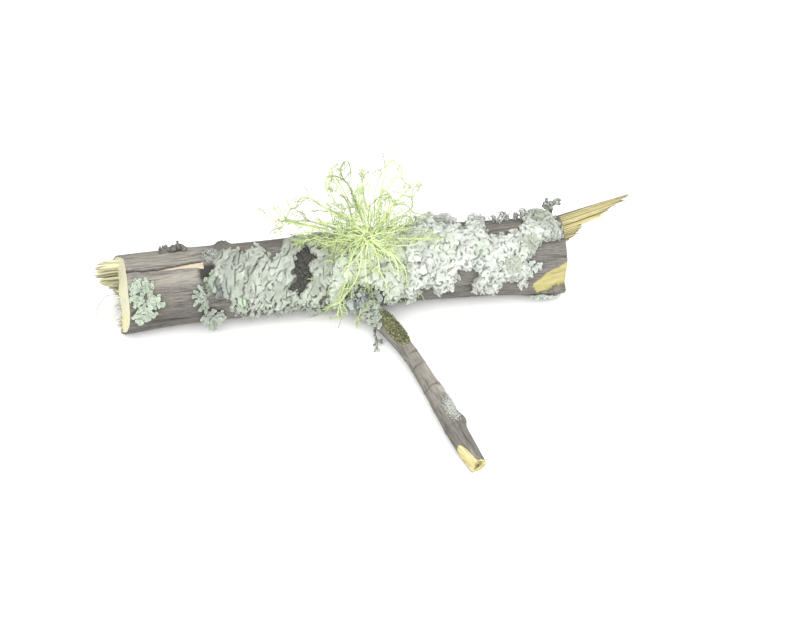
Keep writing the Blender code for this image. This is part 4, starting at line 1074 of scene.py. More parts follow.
# The middle colony is paler and smoother. Its lobes radiate from under the beard lichen.
marks = scattered(closed_outline(MIDDLE), 4.6, 0.8, rng)
count = len(marks)
grooves = flowing(marks, rng.uniform(0, 6.3, count), rng.uniform(1.2, 3.2, count), rng.normal(0, 2.4, count))
grooves = [(path, 0.18) for path in grooves]
spots = scattered(closed_outline(MIDDLE), 1.9, 0.3, rng)
count = len(spots)
scale = lobe_scale(spots, -10, 20)
headings = np.arctan2(spots[:, 1] - 85 * AROUND, spots[:, 0] - 1.5) + rng.normal(0, 0.5, count)
paths = flowing(spots, headings, scale * rng.uniform(3.0, 8.0, count), rng.normal(0, 1.2, count))
widths, heights = scale * rng.uniform(0.8, 1.6, count), rng.uniform(0.2, 0.8, count)
lobes = (paths, widths, heights, rng.uniform(0.3, 1.0, count))
tints = [(-11, -10, 6, (0.34, 0.38, 0.31)), (4, 40, 8, (0.445, 0.485, 0.405))]
body = tinted(spots, (0.475, 0.515, 0.445), tints, rng)
folded("middle_lichen_folds", "middle_leafy_lichen", MIDDLE, lobes, body, 55, grooves, dome=0.4)
fringe("middle_leafy_lichen", MIDDLE, (2.3, 1.7, 0.6, 0.8, 0.5), (0.37, 0.41, 0.335), 56, (7, 10))

# The right colony is whiter. Its short round lobes grow out of many centres, and deep pits part them.
CENTRES = np.array([(56.5, 61), (50.0, 34), (61.5, 100), (44.5, 62), (38.0, 50), (28.0, 90), (20.0, 70),
                    (24.0, 32), (15.5, 20), (42.5, 8), (33.0, 66), (16.5, 100), (54.5, 12)]) * (1, AROUND)
PITS = [(0.6, (38.6, 25), (39.8, 29), (41.2, 30)), (0.40, (36.8, 37), (36.6, 31)),
        (0.40, (30.8, 30), (31, 14)), (0.50, (42.6, 16), (41.6, 5)), (0.45, (41.2, 2), (41, -2)),
        (0.50, (53.4, -1), (53.8, -7)), (0.35, (47.4, 12), (48.2, 6), (50.4, 4.5), (52.4, 6), (53.2, 10)),
        (0.40, (53.6, 36), (53.2, 33)),
        (0.28, (39.4, 54), (38.6, 49), (37.8, 45), (36.2, 42.5), (34.5, 41.5)),
        (0.40, (26.2, 5), (25.6, 1)), (0.35, (39.6, 0), (39.8, -4)), (0.30, (22, 12), (24, 9), (25, 13)),
        (0.30, (17, 30), (18.5, 26), (20, 28))]  # each as its half width and its course
RIGHT_TINTS = [(66, 100, 5, SAGE), (56.5, 61, 2.2, (0.32, 0.35, 0.28)), (50, 34, 2.0, (0.34, 0.37, 0.30)),
               (40, 58, 2.5, (0.37, 0.43, 0.34)), (28, 60, 3, (0.38, 0.43, 0.35)),
               (61, 112, 3, (0.22, 0.25, 0.18))]
marks = scattered(closed_outline(RIGHT), 2.5, 0.5, rng)
marks = marks[rng.uniform(0, 1, len(marks)) > 0.25]
count = len(marks)
headings, lengths = rng.uniform(0, 6.3, count), rng.uniform(1.0, 2.4, count)
grooves = flowing(marks, headings, lengths, rng.choice([-1, 1], count) * rng.uniform(1.5, 3.8, count))
grooves = [(path, rng.uniform(0.12, 0.22)) for path in grooves]
# The pits are grooves, sunk and painted dark as shade.
for half, *spots in PITS:
    grooves.append((through([(x, angle * AROUND) for x, angle in spots], np.linspace(0, 1, 9)), half))
spots = scattered(closed_outline(RIGHT), 1.35, 0.25, rng)
count = len(spots)
from_centre, centre = nearest(spots, CENTRES)
away = np.arctan2(*(spots - CENTRES[centre]).T[::-1])
loose = step(from_centre, 1.5, 5.0)
headings, lengths = away + rng.normal(0, 0.25 + 0.9 * loose, count), rng.uniform(2.0, 5.2, count)
paths = flowing(spots, headings, lengths, rng.normal(0, 1, count) * (0.4 + 2.2 * loose))
cushion = 0.5 + 0.5 * flat_noise(spots / 5, 57)
at_top = np.interp(spots[:, 1] / AROUND, [102, 120], [0, 1])
brim = at_top * np.clip(1.6 + 1.8 * flat_noise(spots / 3, 61), 0, 3)
widths, heights = rng.uniform(0.6, 1.5, count), 0.2 + 0.8 * cushion + brim
lobes = (paths, widths, heights, rng.uniform(0.2, 0.9, count))
body = tinted(spots, PALE, RIGHT_TINTS, rng)
folded("right_lichen_folds", "right_leafy_lichen", RIGHT, lobes, body, 58, grooves, dome=0.25, dark=0.45)
fringe("right_leafy_lichen", RIGHT, (2.0, 1.45, 0.65, 0.8, 0.6), (0.38, 0.40, 0.36), 59, (6, 10), RIGHT_TINTS)

# Two rosettes stand on it.
ROSETTE_LOBES = 17
for number, (x, angle, size) in enumerate(((56.5, 61, 3.0), (50.0, 34, 2.8))):
    rng = np.random.default_rng(58 + number)
    turn = (np.arange(ROSETTE_LOBES) + rng.uniform(-0.2, 0.2, ROSETTE_LOBES)) / ROSETTE_LOBES * 2 * np.pi
    along = np.stack([np.cos(turn), np.sin(turn)], -1)
    hub, reach = np.array([x, angle * AROUND]), size * rng.uniform(0.85, 1.15, (ROSETTE_LOBES, 1))
    paths = np.stack([hub + along * 0.3, hub + along * 0.6 * reach, hub + along * reach], 1)
    widths, lifts = np.full(ROSETTE_LOBES, 0.55), np.full(ROSETTE_LOBES, 0.5)
    flat, share = ribbons(paths, widths, lifts, 0.3, 12, 7, rng)
    flat[..., 2] += 0.9 + each(0, 0.25, ROSETTE_LOBES, rng)
    body = tinted(paths[:, 0], (0.34, 0.36, 0.30), (), rng)
    leafy_piece(f"rosette_{number}", "right_leafy_lichen", flat, share, body)

# The slate-coloured colony sits in the fork, at the root of the twig.
tints = [(-1, 4, 2.2, (0.15, 0.16, 0.165)), (-7, -16, 2.0, (0.20, 0.22, 0.21))]
fringe("fork_leafy_lichen", FORK, (2.4, 1.35, 0.7, 0.9, 0.6), (0.33, 0.365, 0.335), 60, (7, 10), tints,
       inner=1.0)

# ---- The forked lichens at the left, and the curled lobes on the top edge
# At the left grow small mint-green colonies whose lobes are narrow and forked like antlers. One of them hangs
# below the stick, and a few such arms grow at other margins. On the top edge of the right colony grey lobes
# stand up and curl over.

END_LICHEN = {  # the hub and the tips of the arms of each part, as (along, angle) on the stick
    "upper": ((-77.6, 46), [(-80.8, 54), (-78.6, 60), (-75.0, 58), (-73.2, 52), (-81.2, 44), (-74.4, 44),
                            (-76.6, 38)]),
    "middle": ((-76.4, 28), [(-81.8, 35), (-80.6, 26), (-71.2, 32), (-69.8, 20), (-73.0, 25), (-78.2, 37),
                             (-74.0, 39), (-78.4, 18), (-74.8, 16)]),
    "lower": ((-77.6, 9), [(-80.8, 12), (-80.0, -3), (-76.6, -3), (-73.4, 6), (-79.0, 20), (-75.4, 18),
                           (-77.6, 2)]),
}
SMALL_ARMS = [(-60.2, 37), (-61.0, 29), (-59.8, 22), (-60.8, 13), (-59.2, 3), (-56.8, -2), (-58.4, 44),
              (-55.2, 45), (-58.0, 33), (-57.6, 9)]
HANGING_ARMS = [(-58.4, -10), (-57.8, -21), (-55.6, -44), (-54.0, -40), (-51.6, -26), (-50.2, -18),
                (-50.4, -6), (-53, 2), (-56, -2), (-54.6, -34)]
STAR_ARMS = [(57.0, 35), (59.9, 27), (58.2, 20), (55.6, 12), (53.6, 22), (54.4, 30)]
PENDANT_ARMS = [(-21.6, -29), (-20.4, -38), (-18.6, -37), (-17.6, -28)]
SCARF_ARMS = [(56.6, -33), (58.2, -38), (60.4, -35), (62.2, -38), (64.4, -34), (66.6, -36), (60.0, -29)]
CREST = [(28.6, 2.8, -0.8), (30.8, 3.6, -0.9), (40.0, 2.6, -1.0), (42.0, 3.2, -0.9), (46.6, 1.9, -0.5),
         (48.6, 2.6, 0.6), (50.6, 3.0, -0.6), (52.6, 2.4, 0.5), (56.6, 3.6, -0.6), (58.2, 3.2, 0.5),
         (61.6, 2.6, -0.4), (24.4, 2.2, -0.6), (19.6, 2.0, 0.5)]  # where, how high and how far they lean
FRONDS, FROND_STEPS, FROND_SIDES = 8, 12, 8


def antlers(name, node, hub, arms, width, body, seed, raised=0.15, hang=0.0):
    """A colony of forked arms from its hub. With hang, it leaves the bark the more the lower it is."""
    rng = np.random.default_rng(seed)
    hub = np.array([hub[0], hub[1] * AROUND])
    paths, widths = [], []
    for arm in arms:
        end = np.array([arm[0], arm[1] * AROUND])
        run = end - hub
        length = np.linalg.norm(run)
        side = np.array([-run[1], run[0]]) / length
        bend = rng.uniform(-0.18, 0.18) * length
        middle = hub + run * 0.5 + side * bend
        paths.append([hub + run * rng.uniform(0, 0.15), middle, hub + run * 0.96])
        widths.append(width * rng.uniform(0.8, 1.15))
        for share, way in ((0.45, 1), (0.62, -1), (0.78, 1)):
            if length * (1 - share) < 0.9 * width:
                continue
            start = hub + run * share + side * bend * (1 - (2 * share - 1) ** 2)
            reach = rng.uniform(1.3, 2.2) * width
            turned = run / length * rng.uniform(0.5, 0.9) + side * way * rng.uniform(0.6, 1.0)
            turned /= np.linalg.norm(turned)
            tip = start + turned * reach + run / length * 0.25
            paths.append([start - turned * 0.4 * width, start + turned * 0.5 * reach, tip])
            widths.append(width * rng.uniform(0.62, 0.85))
    paths, widths = np.array(paths), np.array(widths)
    flat, share = ribbons(paths, widths, rng.uniform(0.15, 0.9, len(paths)), 0.35, 12, 7, rng)
    flat[..., 2] += raised + each(0, 0.35, len(paths), rng) + hang * np.maximum(0, -2.0 - flat[..., 1])
    leafy_piece(name, node, flat, share, tinted(paths[:, 0], body, (), rng), thickness=0.24)


for number, (part, (hub, arms)) in enumerate(END_LICHEN.items()):
    antlers("end_lichen_" + part, "end_leafy_lichen", hub, arms, 0.74, (0.345, 0.40, 0.315), 161 + number,
            0.2 + 0.2 * number)
antlers("small_lichen_arms", "small_leafy_lichen", (-55.4, 22), SMALL_ARMS, 0.40, (0.275, 0.31, 0.255), 62)
antlers("hanging_lichen_arms", "hanging_leafy_lichen", (-54.3, -13), HANGING_ARMS, 0.62,
        (0.345, 0.385, 0.325), 63, raised=0.3, hang=0.34)
antlers("star_lobes", "right_leafy_lichen", (56.4, 25), STAR_ARMS, 0.62, (0.46, 0.50, 0.47), 64)
antlers("pendant_lobes", "left_leafy_lichen", (-19.8, -26), PENDANT_ARMS, 0.7, (0.33, 0.37, 0.31), 65)
antlers("scarf_lobes", "right_leafy_lichen", (60.6, -33), SCARF_ARMS, 0.5, (0.42, 0.47, 0.41), 66)

rng = np.random.default_rng(67)
x, height, lean = np.repeat(np.array(CREST), FRONDS, axis=0).T
count = len(x)
foot = on_stick(x + rng.normal(0, 1.1, count), 117 + rng.normal(0, 5, count), 0.2)
share = np.linspace(0, 1, FROND_STEPS)[None, :, None]
rise = (height * rng.uniform(0.7, 1.5, count))[:, None, None] * np.array([0, 0.12, 1.0])
sweep = (lean * height * rng.uniform(0.4, 1.3, count))[:, None, None] * np.array([1.0, 0.2, 0])
paths = foot[:, None] + rise * (share * 1.25 - 0.35 * share**3) + sweep * share**2
paths += rng.normal(0, 0.5, (count, 1, 3)) * (1, 0.6, 0.2) * np.sin(share * 3.0)
half = rng.uniform(0.22, 0.42, (count, 1)) * (1 - 0.7 * share[..., 0] ** 2)
places, faces = drawn_out(paths, half, 0.14 + 0 * half, (0.3, -0.8, 0.4), FROND_SIDES)
tone = tinted(foot[:, :2], (0.38, 0.40, 0.365), (), rng) * rng.uniform(0.55, 1.25, (count, 1))
paint = np.repeat(opaque(tone), FROND_STEPS * FROND_SIDES, axis=0)
crest = add_piece("crest_fronds", places, faces, leafy_finish, paint=paint)
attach(crest, "root")
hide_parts("right_leafy_lichen")

# ---- The leafy lichen on the side twig
# A small colony of blue-grey lobes clings to the left side of the twig, close to the fork. Like the others it
# is thin and papery and held to the bark from below, and its lobes overlap and turn up at their tips.

TWIG_ROLL = 3.0  # the radius that places on the twig are unrolled at
TWIG_COLONY = [(8.6, 6), (8.4, -50), (10.5, -84), (15.5, -80), (19, -56), (17.6, -30), (14.5, -6), (11.5, 10)]


def around_twig(flat):
    """Flat places, (along, round from the top, height), laid on the twig."""
    return on_twig(flat[..., 0], 90 + np.degrees(flat[..., 1] / TWIG_ROLL), flat[..., 2])


def twig_outline(controls):
    """A smooth closed outline on the twig, from (along, degrees from the top)."""
    return closed_outline([(along, math.radians(angle) * TWIG_ROLL / AROUND) for along, angle in controls])


rng = np.random.default_rng(67)
spots = scattered(twig_outline(TWIG_COLONY), 1.25, 0.2, rng)
spread_out = spots - spots.mean(0)
headings = np.arctan2(spread_out[:, 1], spread_out[:, 0]) + rng.normal(0, 0.5, len(spots))
flat, share = fans(spots, headings, 2.5, 0.6, rng.uniform(0.1, 0.6, len(spots)), 0.35, 8, 10, rng)
flat[..., 2] += 0.1 + each(0, 0.6, len(spots), rng)
body = tinted(spots, (0.36, 0.40, 0.345), [(14, -130, 2.5, SLATE)], rng)
leafy_piece("twig_lobes", "twig_leafy_lichen", flat, share, body, around_twig)

# ---- The crusts: black on the stick, grey on the old branch stub, white on the twig
# A black crumbly fungus crust fills a gap in the left colony. Where a side branch broke off, its stub is
# overgrown with grey grains. The twig carries a whitish crust of tiny grains near its end. All of them cling
# to the bark.

CRUSTS = {
    "black_crust": ((0.008, 0.008, 0.008), (0.105, 0.105, 0.09)),
    "grey_grains": ((0.08, 0.085, 0.075), (0.46, 0.475, 0.43)),
    "dry_crust": ((0.04, 0.037, 0.033), (0.27, 0.255, 0.225)),
    "white_crust": ((0.24, 0.25, 0.225), (0.60, 0.62, 0.575)),
}
STUB_X, STUB_ANGLE, STUB_GRAINS = -53.3, 88, 190
TWIG_CRUST = [(54, 44), (56.5, 18), (58.5, -14), (62, -24), (65.5, -8), (66.5, 26), (61.5, 48), (56, 58)]

crust_finishes = {}
for name, (dark, light) in CRUSTS.items():
    crust_finishes[name], crust_shader, place = finish(name, 0.92)
    crumbs = place.noise(2.4, 4, 0.65)
    feed(crust_shader, "Base Color", crumbs.ramp((0.36, dark), (0.68, light)))
    feed_bump(crust_shader, place.noise(6.0, 3, 0.6), 0.25, 0.7)


def lumps(name, node, kind, centres, sizes, seed):
    """Small rough lumps joined into one crumbly piece."""
    sides, rings = 10, 6
    turn = np.arange(sides) * 2 * np.pi / sides
    rise = np.linspace(-0.5, 0.5, rings)[:, None] * np.pi * 0.94
    ball = np.stack([np.cos(rise) * np.cos(turn), np.cos(rise) * np.sin(turn), np.sin(rise) + 0 * turn], -1)
    rough = 1 + 0.35 * noise(ball[None] * 1.6 + centres[:, None, None] * 3.1, seed)
    places = centres[:, None, None] + ball * (rough * sizes[:, None, None])[..., None]
    walls = grid(rings, sides, closed=True)[:, ::-1]
    first = np.arange(len(centres))[:, None, None] * rings * sides
    caps = np.stack([np.arange(sides)[::-1], np.arange(sides) + (rings - 1) * sides])
    faces = (walls + first).reshape(-1, 4).tolist() + (caps + first).reshape(-1, sides).tolist()
    piece = add_piece(name, places.reshape(-1, 3), faces, crust_finishes[kind])
    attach(piece, "root")
    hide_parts(node)


rng = np.random.default_rng(71)
spots = scattered(hole, 0.70, 0.45, rng)
sizes = rng.uniform(0.45, 1.0, len(spots)) * (0.6 + 0.4 * step(nearest(spots, hole)[0], 0, 1.5))
heights = 0.15 + 0.55 * sizes * rng.uniform(0.2, 1.2, len(spots))
centres = around_stick(np.hstack([spots, heights[:, None]]))
lumps("black_crumbs", "black_crust", "black_crust", centres, sizes, 72)

turn, rise = rng.uniform(0, 2 * np.pi, STUB_GRAINS), np.arccos(rng.uniform(0.0, 1.0, STUB_GRAINS))
x = STUB_X + 2.7 * np.sin(rise) * np.cos(turn)
back = STUB_ANGLE * AROUND + 2.6 * np.sin(rise) * np.sin(turn)
centres = around_stick(np.stack([x, back, 1.7 * np.cos(rise)], -1))
sizes = rng.uniform(0.3, 0.7, STUB_GRAINS)
lumps("stub_grains", "branch", "grey_grains", centres, sizes, 73)

outline = twig_outline(TWIG_CRUST)
spots = scattered(outline, 0.50, 0.05, rng)
sizes = rng.uniform(0.26, 0.46, len(spots)) * (0.6 + 0.4 * step(nearest(spots, outline)[0], 0, 1.2))
centres = around_twig(np.hstack([spots, rng.uniform(0.05, 0.3, (len(spots), 1))]))
lumps("white_grains", "white_crust", "white_crust", centres, sizes, 74)

# ---- The moss cushion on the twig
# Just outside the fork a cushion of short brown-green moss sits on the top of the twig. It is a dense stand
# of thin leaflets that grow out of a low bed of their dead lower parts.

MOSS = [(14.8, 4), (18.8, -36), (23.6, -50), (28.4, -36), (30.4, 4), (28.6, 52), (22, 78), (15.8, 62)]

moss_finish, moss_shader, place = finish("moss", 0.9)
tufts = place.noise(1.6, 4, 0.6)
moss_colour = tufts.ramp((0.36, (0.045, 0.048, 0.026)), (0.52, (0.18, 0.185, 0.088)),
                         (0.68, (0.41, 0.42, 0.25)))
feed(moss_shader, "Base Color", moss_colour)
feed_bump(moss_shader, place.noise(9.0, 2), 0.15, 0.6)

rng = np.random.default_rng(75)
outline = twig_outline(MOSS)
spots = scattered(outline, 0.29, 0.05, rng)
cushion = step(nearest(spots, outline)[0], -0.3, 2.2)
count = len(spots)
height = (0.25 + 1.35 * cushion * (0.8 + 0.35 * flat_noise(spots * 0.9, 76)))[:, None, None]
lean = rng.normal(0, 0.35, (count, 2)) + (spots - spots.mean(0)) * (0.05, 0.12)
share = np.linspace(0, 1, 4)[None, :, None]
flat = np.concatenate([spots[:, None] + lean[:, None] * share * height, height * share - 0.05], -1)
thin = np.array([0.16, 0.20, 0.13, 0.02])[None] * rng.uniform(0.7, 1.3, (count, 1))
places, faces = drawn_out(around_twig(flat), thin, thin, (1, 0, 0.2), 4)
moss = add_piece("moss_leaflets", places, faces, moss_finish)

rings = 9
rim = outline[::10]
spokes = len(rim)
share = np.linspace(1, 0.03, rings)[:, None, None]
flat = rim.mean(0) + (rim - rim.mean(0)) * share
dome = 0.10 + 0.62 * np.clip((1 - share[..., 0]) * 2.2, 0, 1) ** 0.6 + 0 * flat[..., 0]
top = around_twig(np.concatenate([flat, dome[..., None]], -1))
bottom = around_twig(np.concatenate([flat[0], 0 * flat[0, :, :1] - 0.1], -1))
places = np.concatenate([bottom[None], top])
corners = list(range((rings + 1) * spokes))
faces = grid(rings + 1, spokes, closed=True).tolist() + [corners[:spokes], corners[-spokes:][::-1]]
cushion_bed = add_piece("moss_bed", places.reshape(-1, 3), faces, moss_finish)
for piece in (moss, cushion_bed):
    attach(piece, "root")
    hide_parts("moss")

# ---- The beard lichen
# A dense tuft of beard lichen grows out of one holdfast on top of the stick. Its strands are round,
# yellow-green and soft, and branch again and again into hair-fine fibrils. Those at the front hang over the
# bark.

HOLDFAST = np.array([1.6, 1.3, 27.1])
HOLDFAST_LUMPS = 26
STRAND_STEPS, FREE_STRANDS, CURLS = 16, 64, 46  # the curls are short strands that fill the middle
CORE_GREEN, TIP_GREEN = np.array([0.66, 0.76, 0.41]), np.array([0.42, 0.51, 0.23])
TRACED = [  # the courses of the longest strands
    [(1.5, 2.9, 28.7), (-6.6, 5.8, 31.1), (-13.4, 6.5, 31.5), (-20.2, 7.5, 32.2), (-25.9, 8.1, 32.7),
     (-31.2, 8.4, 32.9), (-33, 9.3, 34.2), (-33.2, 10.1, 35.5)],
    [(-27.8, 7.5, 33.2), (-28.3, 8.4, 34.9), (-30.4, 10.6, 37.8)],
    [(-25.7, 7.5, 33.3), (-25.7, 9.2, 33.9), (-24.1, 11.6, 35.4)],
    [(-18.3, 6.9, 32.6), (-20.1, 8.3, 34.6), (-21.5, 8.8, 35.8)],
    [(-26.7, 7.4, 33.1), (-27.7, 5.7, 32.2), (-31.2, 4.8, 31.8), (-32.5, 3.5, 31.2)],
    [(-15, 6.1, 31.8), (-18.3, 3.7, 30.8), (-21.5, 2.8, 31.2)],
    [(-0.8, 2.6, 28.1), (-6.2, 2.6, 28.5), (-11.6, 2.7, 29.1), (-17, 2, 28.8), (-20.1, 1.8, 29.3),
     (-23.5, 2, 30.2)],
    [(-17.1, 1.6, 29.2), (-20.3, 0.2, 29.6), (-23.1, -1.6, 29.5)],
    [(0.4, 3.6, 29.2), (-0.6, 4.7, 29.3), (-5.6, 8.2, 31.3), (-9.9, 10.9, 32.6), (-12.9, 11.7, 32.2),
     (-15.5, 12.8, 32)],
    [(-9.9, 11, 32.4), (-13.2, 12, 34), (-16.1, 13.2, 35.9), (-17.9, 13.9, 37.5), (-18, 15.5, 40)],
    [(-16.1, 13, 36.4), (-18.6, 14.7, 36.4), (-20.9, 15.5, 35.4), (-22.2, 14.8, 33.1)],
    [(0.5, 4.1, 29.7), (-1.3, 7.5, 34.1), (-2.1, 10.5, 38.2), (-4, 13, 41.7), (-6.1, 14.8, 44.5),
     (-6.2, 16.5, 47.4), (-4.2, 17.2, 49.5), (-3.2, 15, 48.8), (-3.3, 11.5, 46.5)],
    [(-4.1, 12.8, 42), (-6.8, 15.8, 43.2), (-8.9, 17.3, 43), (-9.8, 16.6, 40.8)],
    [(-8.2, 16.6, 43.1), (-10.3, 16.7, 43.8), (-9.6, 17.8, 45.9), (-8.4, 17.6, 46.7), (-6.7, 15.9, 46.2)],
    [(-9.6, 17.2, 42.8), (-11.8, 16.8, 39.3), (-10.7, 16.6, 36.4)],
    [(2.6, 2.2, 28.1), (3.8, 5.5, 30.7), (4.1, 8.3, 32.8), (4.9, 13, 36.7), (6.3, 16.3, 39.3),
     (8.2, 18.9, 41.4), (10.8, 21.2, 43.2), (13.3, 22.1, 43.6)],
    [(10.8, 21.2, 43.2), (13.8, 19.8, 43.8), (14.7, 17.8, 43.6), (14.8, 16.1, 43.5)],
    [(0.6, 4.6, 30.3), (-0.7, 6.6, 34.9), (-1.3, 7.3, 38.4), (-0.7, 8.4, 42.4), (0, 8.2, 45), (2.6, 7, 47),
     (1.8, 4, 46.8)],
    [(1, 5.4, 31.1), (0.2, 11.1, 33.8), (1.2, 17.1, 37.1), (1.4, 20.5, 37.7), (2.2, 24.2, 38.6)],
    [(1.5, 20, 37.2), (4.1, 23.7, 38.3)],
    [(3, 2.7, 28.7), (5.3, 5.1, 33.4), (6.1, 8.2, 38.8), (7.3, 8.8, 41.6), (9.8, 9.8, 45), (12.8, 9.2, 47),
     (14.8, 7.2, 47.4)],
    [(7.3, 8.4, 42), (9.2, 5.1, 42.7), (9.3, 1.4, 42.9), (6.6, -2.9, 42)],
    [(3.3, 2.1, 28.1), (6.3, 4.2, 31), (8.6, 6.5, 33.9), (10.2, 7.7, 35.6), (13.3, 7.5, 36.2),
     (15.8, 6.3, 35.7), (16.8, 4.8, 34.6), (19.3, 3.6, 34.2), (22.7, 2.7, 34)],
    [(16.4, 5.5, 35.3), (17.2, 6.2, 37.7), (16.8, 6.5, 39.5), (15, 6.4, 40.8), (12.3, 5.8, 41.4)],
    [(10.2, 7.5, 35.8), (15.3, 11, 37.8), (17.6, 14, 39), (20.2, 15.6, 38.8), (21.7, 15.4, 36.7)],
    [(3.2, 1.5, 27.6), (6.5, 3, 28), (10.9, 4.2, 28.4), (15, 5.5, 28.8), (19, 6.3, 28.7), (22.7, 7.6, 29.1)],
    [(2.7, 0.1, 27.4), (4.4, -1.9, 26.9), (8.1, -3.1, 27.4), (11.4, -4.4, 27.8), (15.4, -5.4, 28.6),
     (18.1, -5.7, 29.8), (20.3, -5.8, 31.2), (22.7, -5.1, 33.4)],
    [(20.3, -5.7, 31.1), (23.7, -5.7, 30.9), (26.5, -5.8, 30.4)],
    [(3.2, 1, 27), (6.6, 0.4, 28.2), (12.1, -1.7, 28.4), (16.9, -2.8, 29.3), (19.9, -3.4, 30.5)],
    [(3.3, -1, 27.8), (7, -5.5, 27.4), (9.6, -8.9, 26.5), (11.8, -12.3, 24.8), (12.4, -14, 22.6),
     (12.4, -15.6, 19.2)],
    [(2.5, -1.5, 27.9), (5.8, -5.5, 27.5), (8.5, -8.4, 26.8), (9.7, -11.4, 24.7), (9.6, -13.4, 21.9)],
    [(2.6, -4, 27.5), (3.5, -8.6, 25.5), (3.5, -11.5, 23.5), (5.1, -13.7, 20.6), (5.4, -14.6, 18.3)],
    [(0.7, -0.8, 28.1), (0.4, -2.9, 28.4), (-0.7, -7.2, 27.3), (-1.4, -11.5, 24.7), (-1.3, -13.2, 22.6),
     (-1.6, -14.1, 20.9)],
    [(-0.5, -0.8, 28.2), (-1.5, -2.9, 28.6), (-2.6, -8.7, 26.4), (-3.7, -11.9, 24.3), (-5.2, -14.2, 22.5),
     (-7.7, -16.3, 20), (-10.2, -17.1, 17.4), (-11.4, -17.6, 13.8), (-11.9, -16.9, 7.7)],
    [(-10.1, -16.4, 16.7), (-10.9, -17.5, 14.7), (-10, -17.1, 7.7)],
    [(-1.6, -0.4, 28), (-3.5, -3.5, 27.9), (-5.9, -7.7, 26.4), (-7.4, -10.7, 24.6), (-8.1, -12.9, 22.6),
     (-9, -14.2, 20.3), (-10.8, -15.6, 15.5)],
    [(-2.3, -0.4, 28.7), (-5.3, -3, 29.2), (-8.9, -7.2, 28.3), (-9.3, -8.2, 27.7)],
    [(-2.6, 0.1, 29.3), (-7.5, -1.8, 30), (-9.6, -4.2, 30.2), (-11.1, -6.7, 29.1)],
    [(0.3, -0.9, 28.2), (-1.8, -5.2, 28.2), (-4.9, -9.3, 27.2), (-7.8, -11, 26.5), (-8.7, -12, 25.5)],
    [(-5.6, 8.1, 31.5), (-7.4, 12, 32.8), (-9.3, 15.7, 33.9), (-10.3, 20.2, 35.8)],
    [(-3.5, 6.2, 31.4), (-4.3, 7.9, 35.7), (-6, 9.3, 39.7), (-7.6, 8.8, 41.8)],
]

beard_finish, beard_shader, place = finish("beard_lichen", 0.7)
yellower = ((place.noise(0.35, 3) - 0.5) * 2.5).clamped() * 0.6
feed(beard_shader, "Base Color", place.attribute("paint", "Color").mixed((0.68, 0.77, 0.43, 1), yellower))
feed_bump(beard_shader, place.noise(5.0, 2), 0.08, 0.5)


def off_the_stick(paths, clearance):
    """Moves places that are in the stick, or too close to it, straight outwards."""
    from_axis = paths[..., 1:] - np.stack([stick_axis(paths[..., 0]), 0 * paths[..., 0] + AXIS_HEIGHT], -1)
    distance = np.linalg.norm(from_axis, axis=-1, keepdims=True)
    paths = paths.copy()
    paths[..., 1:] += from_axis / distance * np.maximum(0, STICK_RADIUS + clearance - distance)
    paths[..., 2] = np.maximum(paths[..., 2], 0.4)
    return paths


def wandering(paths, pitch, first_seed):
    """How far, from about -1 to 1, places on strands stray in all three directions."""
    return np.stack([noise(paths * pitch, first_seed + number) for number in range(3)], -1)


# The longest strands have traced courses. Others spread from the holdfast like a fan that leans back.
rng = np.random.default_rng(81)
share = np.linspace(0, 1, STRAND_STEPS)
roots = [HOLDFAST + (np.array(path[0]) - HOLDFAST) * 0.5 for path in TRACED]
main = np.array([through([root, *path], share) for root, path in zip(roots, TRACED)])
share = share[None, :, None]
bearing = (np.arange(FREE_STRANDS) + rng.uniform(0, 1, FREE_STRANDS)) / FREE_STRANDS * 2 * np.pi
rise = rng.uniform(-0.45, 0.65, FREE_STRANDS)
fan = np.cos(bearing)[:, None] * (1, 0, 0) + np.sin(bearing)[:, None] * (0, 0.70, 0.71)
heading = np.cos(rise)[:, None] * fan + np.sin(rise)[:, None] * (0, -0.71, 0.70)
forwards = np.maximum(0, -heading[:, 1])
length = rng.uniform(14, 28, FREE_STRANDS) * (1 - 0.12 * heading[:, 0]) * (1 - 0.4 * forwards)
length *= 1 - 0.24 * np.maximum(0, np.sin(bearing))
bend = np.cross(heading, rng.normal(0, 1, (FREE_STRANDS, 3)))
bend *= rng.uniform(0.3, 1.1, (FREE_STRANDS, 1)) / np.linalg.norm(bend, axis=-1, keepdims=True)
free = heading[:, None] * (share - 0.15 * share**2) + 0.6 * bend[:, None] * share**2
free[..., 2] -= (0.75 * forwards)[:, None] * share[..., 0] ** 2
start = HOLDFAST + (heading + rng.normal(0, 0.8, (FREE_STRANDS, 3)))[:, None] * 1.2
free = start + free * length[:, None, None]
free += 2.3 * wandering(free, 0.16, 82) * share
free += 1.3 * wandering(free, 0.4, 85) * share**0.5
main = off_the_stick(np.concatenate([main, free]), 0.7)

heading = rng.normal(0, 1, (CURLS, 3)) + (0, -0.45, 0.35)
heading /= np.linalg.norm(heading, axis=-1, keepdims=True)
bend = np.cross(heading, rng.normal(0, 1, (CURLS, 3)))
start = HOLDFAST + heading * rng.uniform(0.5, 8.0, (CURLS, 1)) + rng.normal(0, 1.0, (CURLS, 3))
curls = heading[:, None] * (share - 0.35 * share**2) + bend[:, None] * 0.8 * share**2
curls = start[:, None] + curls * each(4.0, 11.0, CURLS, rng)
curls += 1.1 * wandering(curls, 0.35, 88) * share
curls = off_the_stick(curls, 0.7)


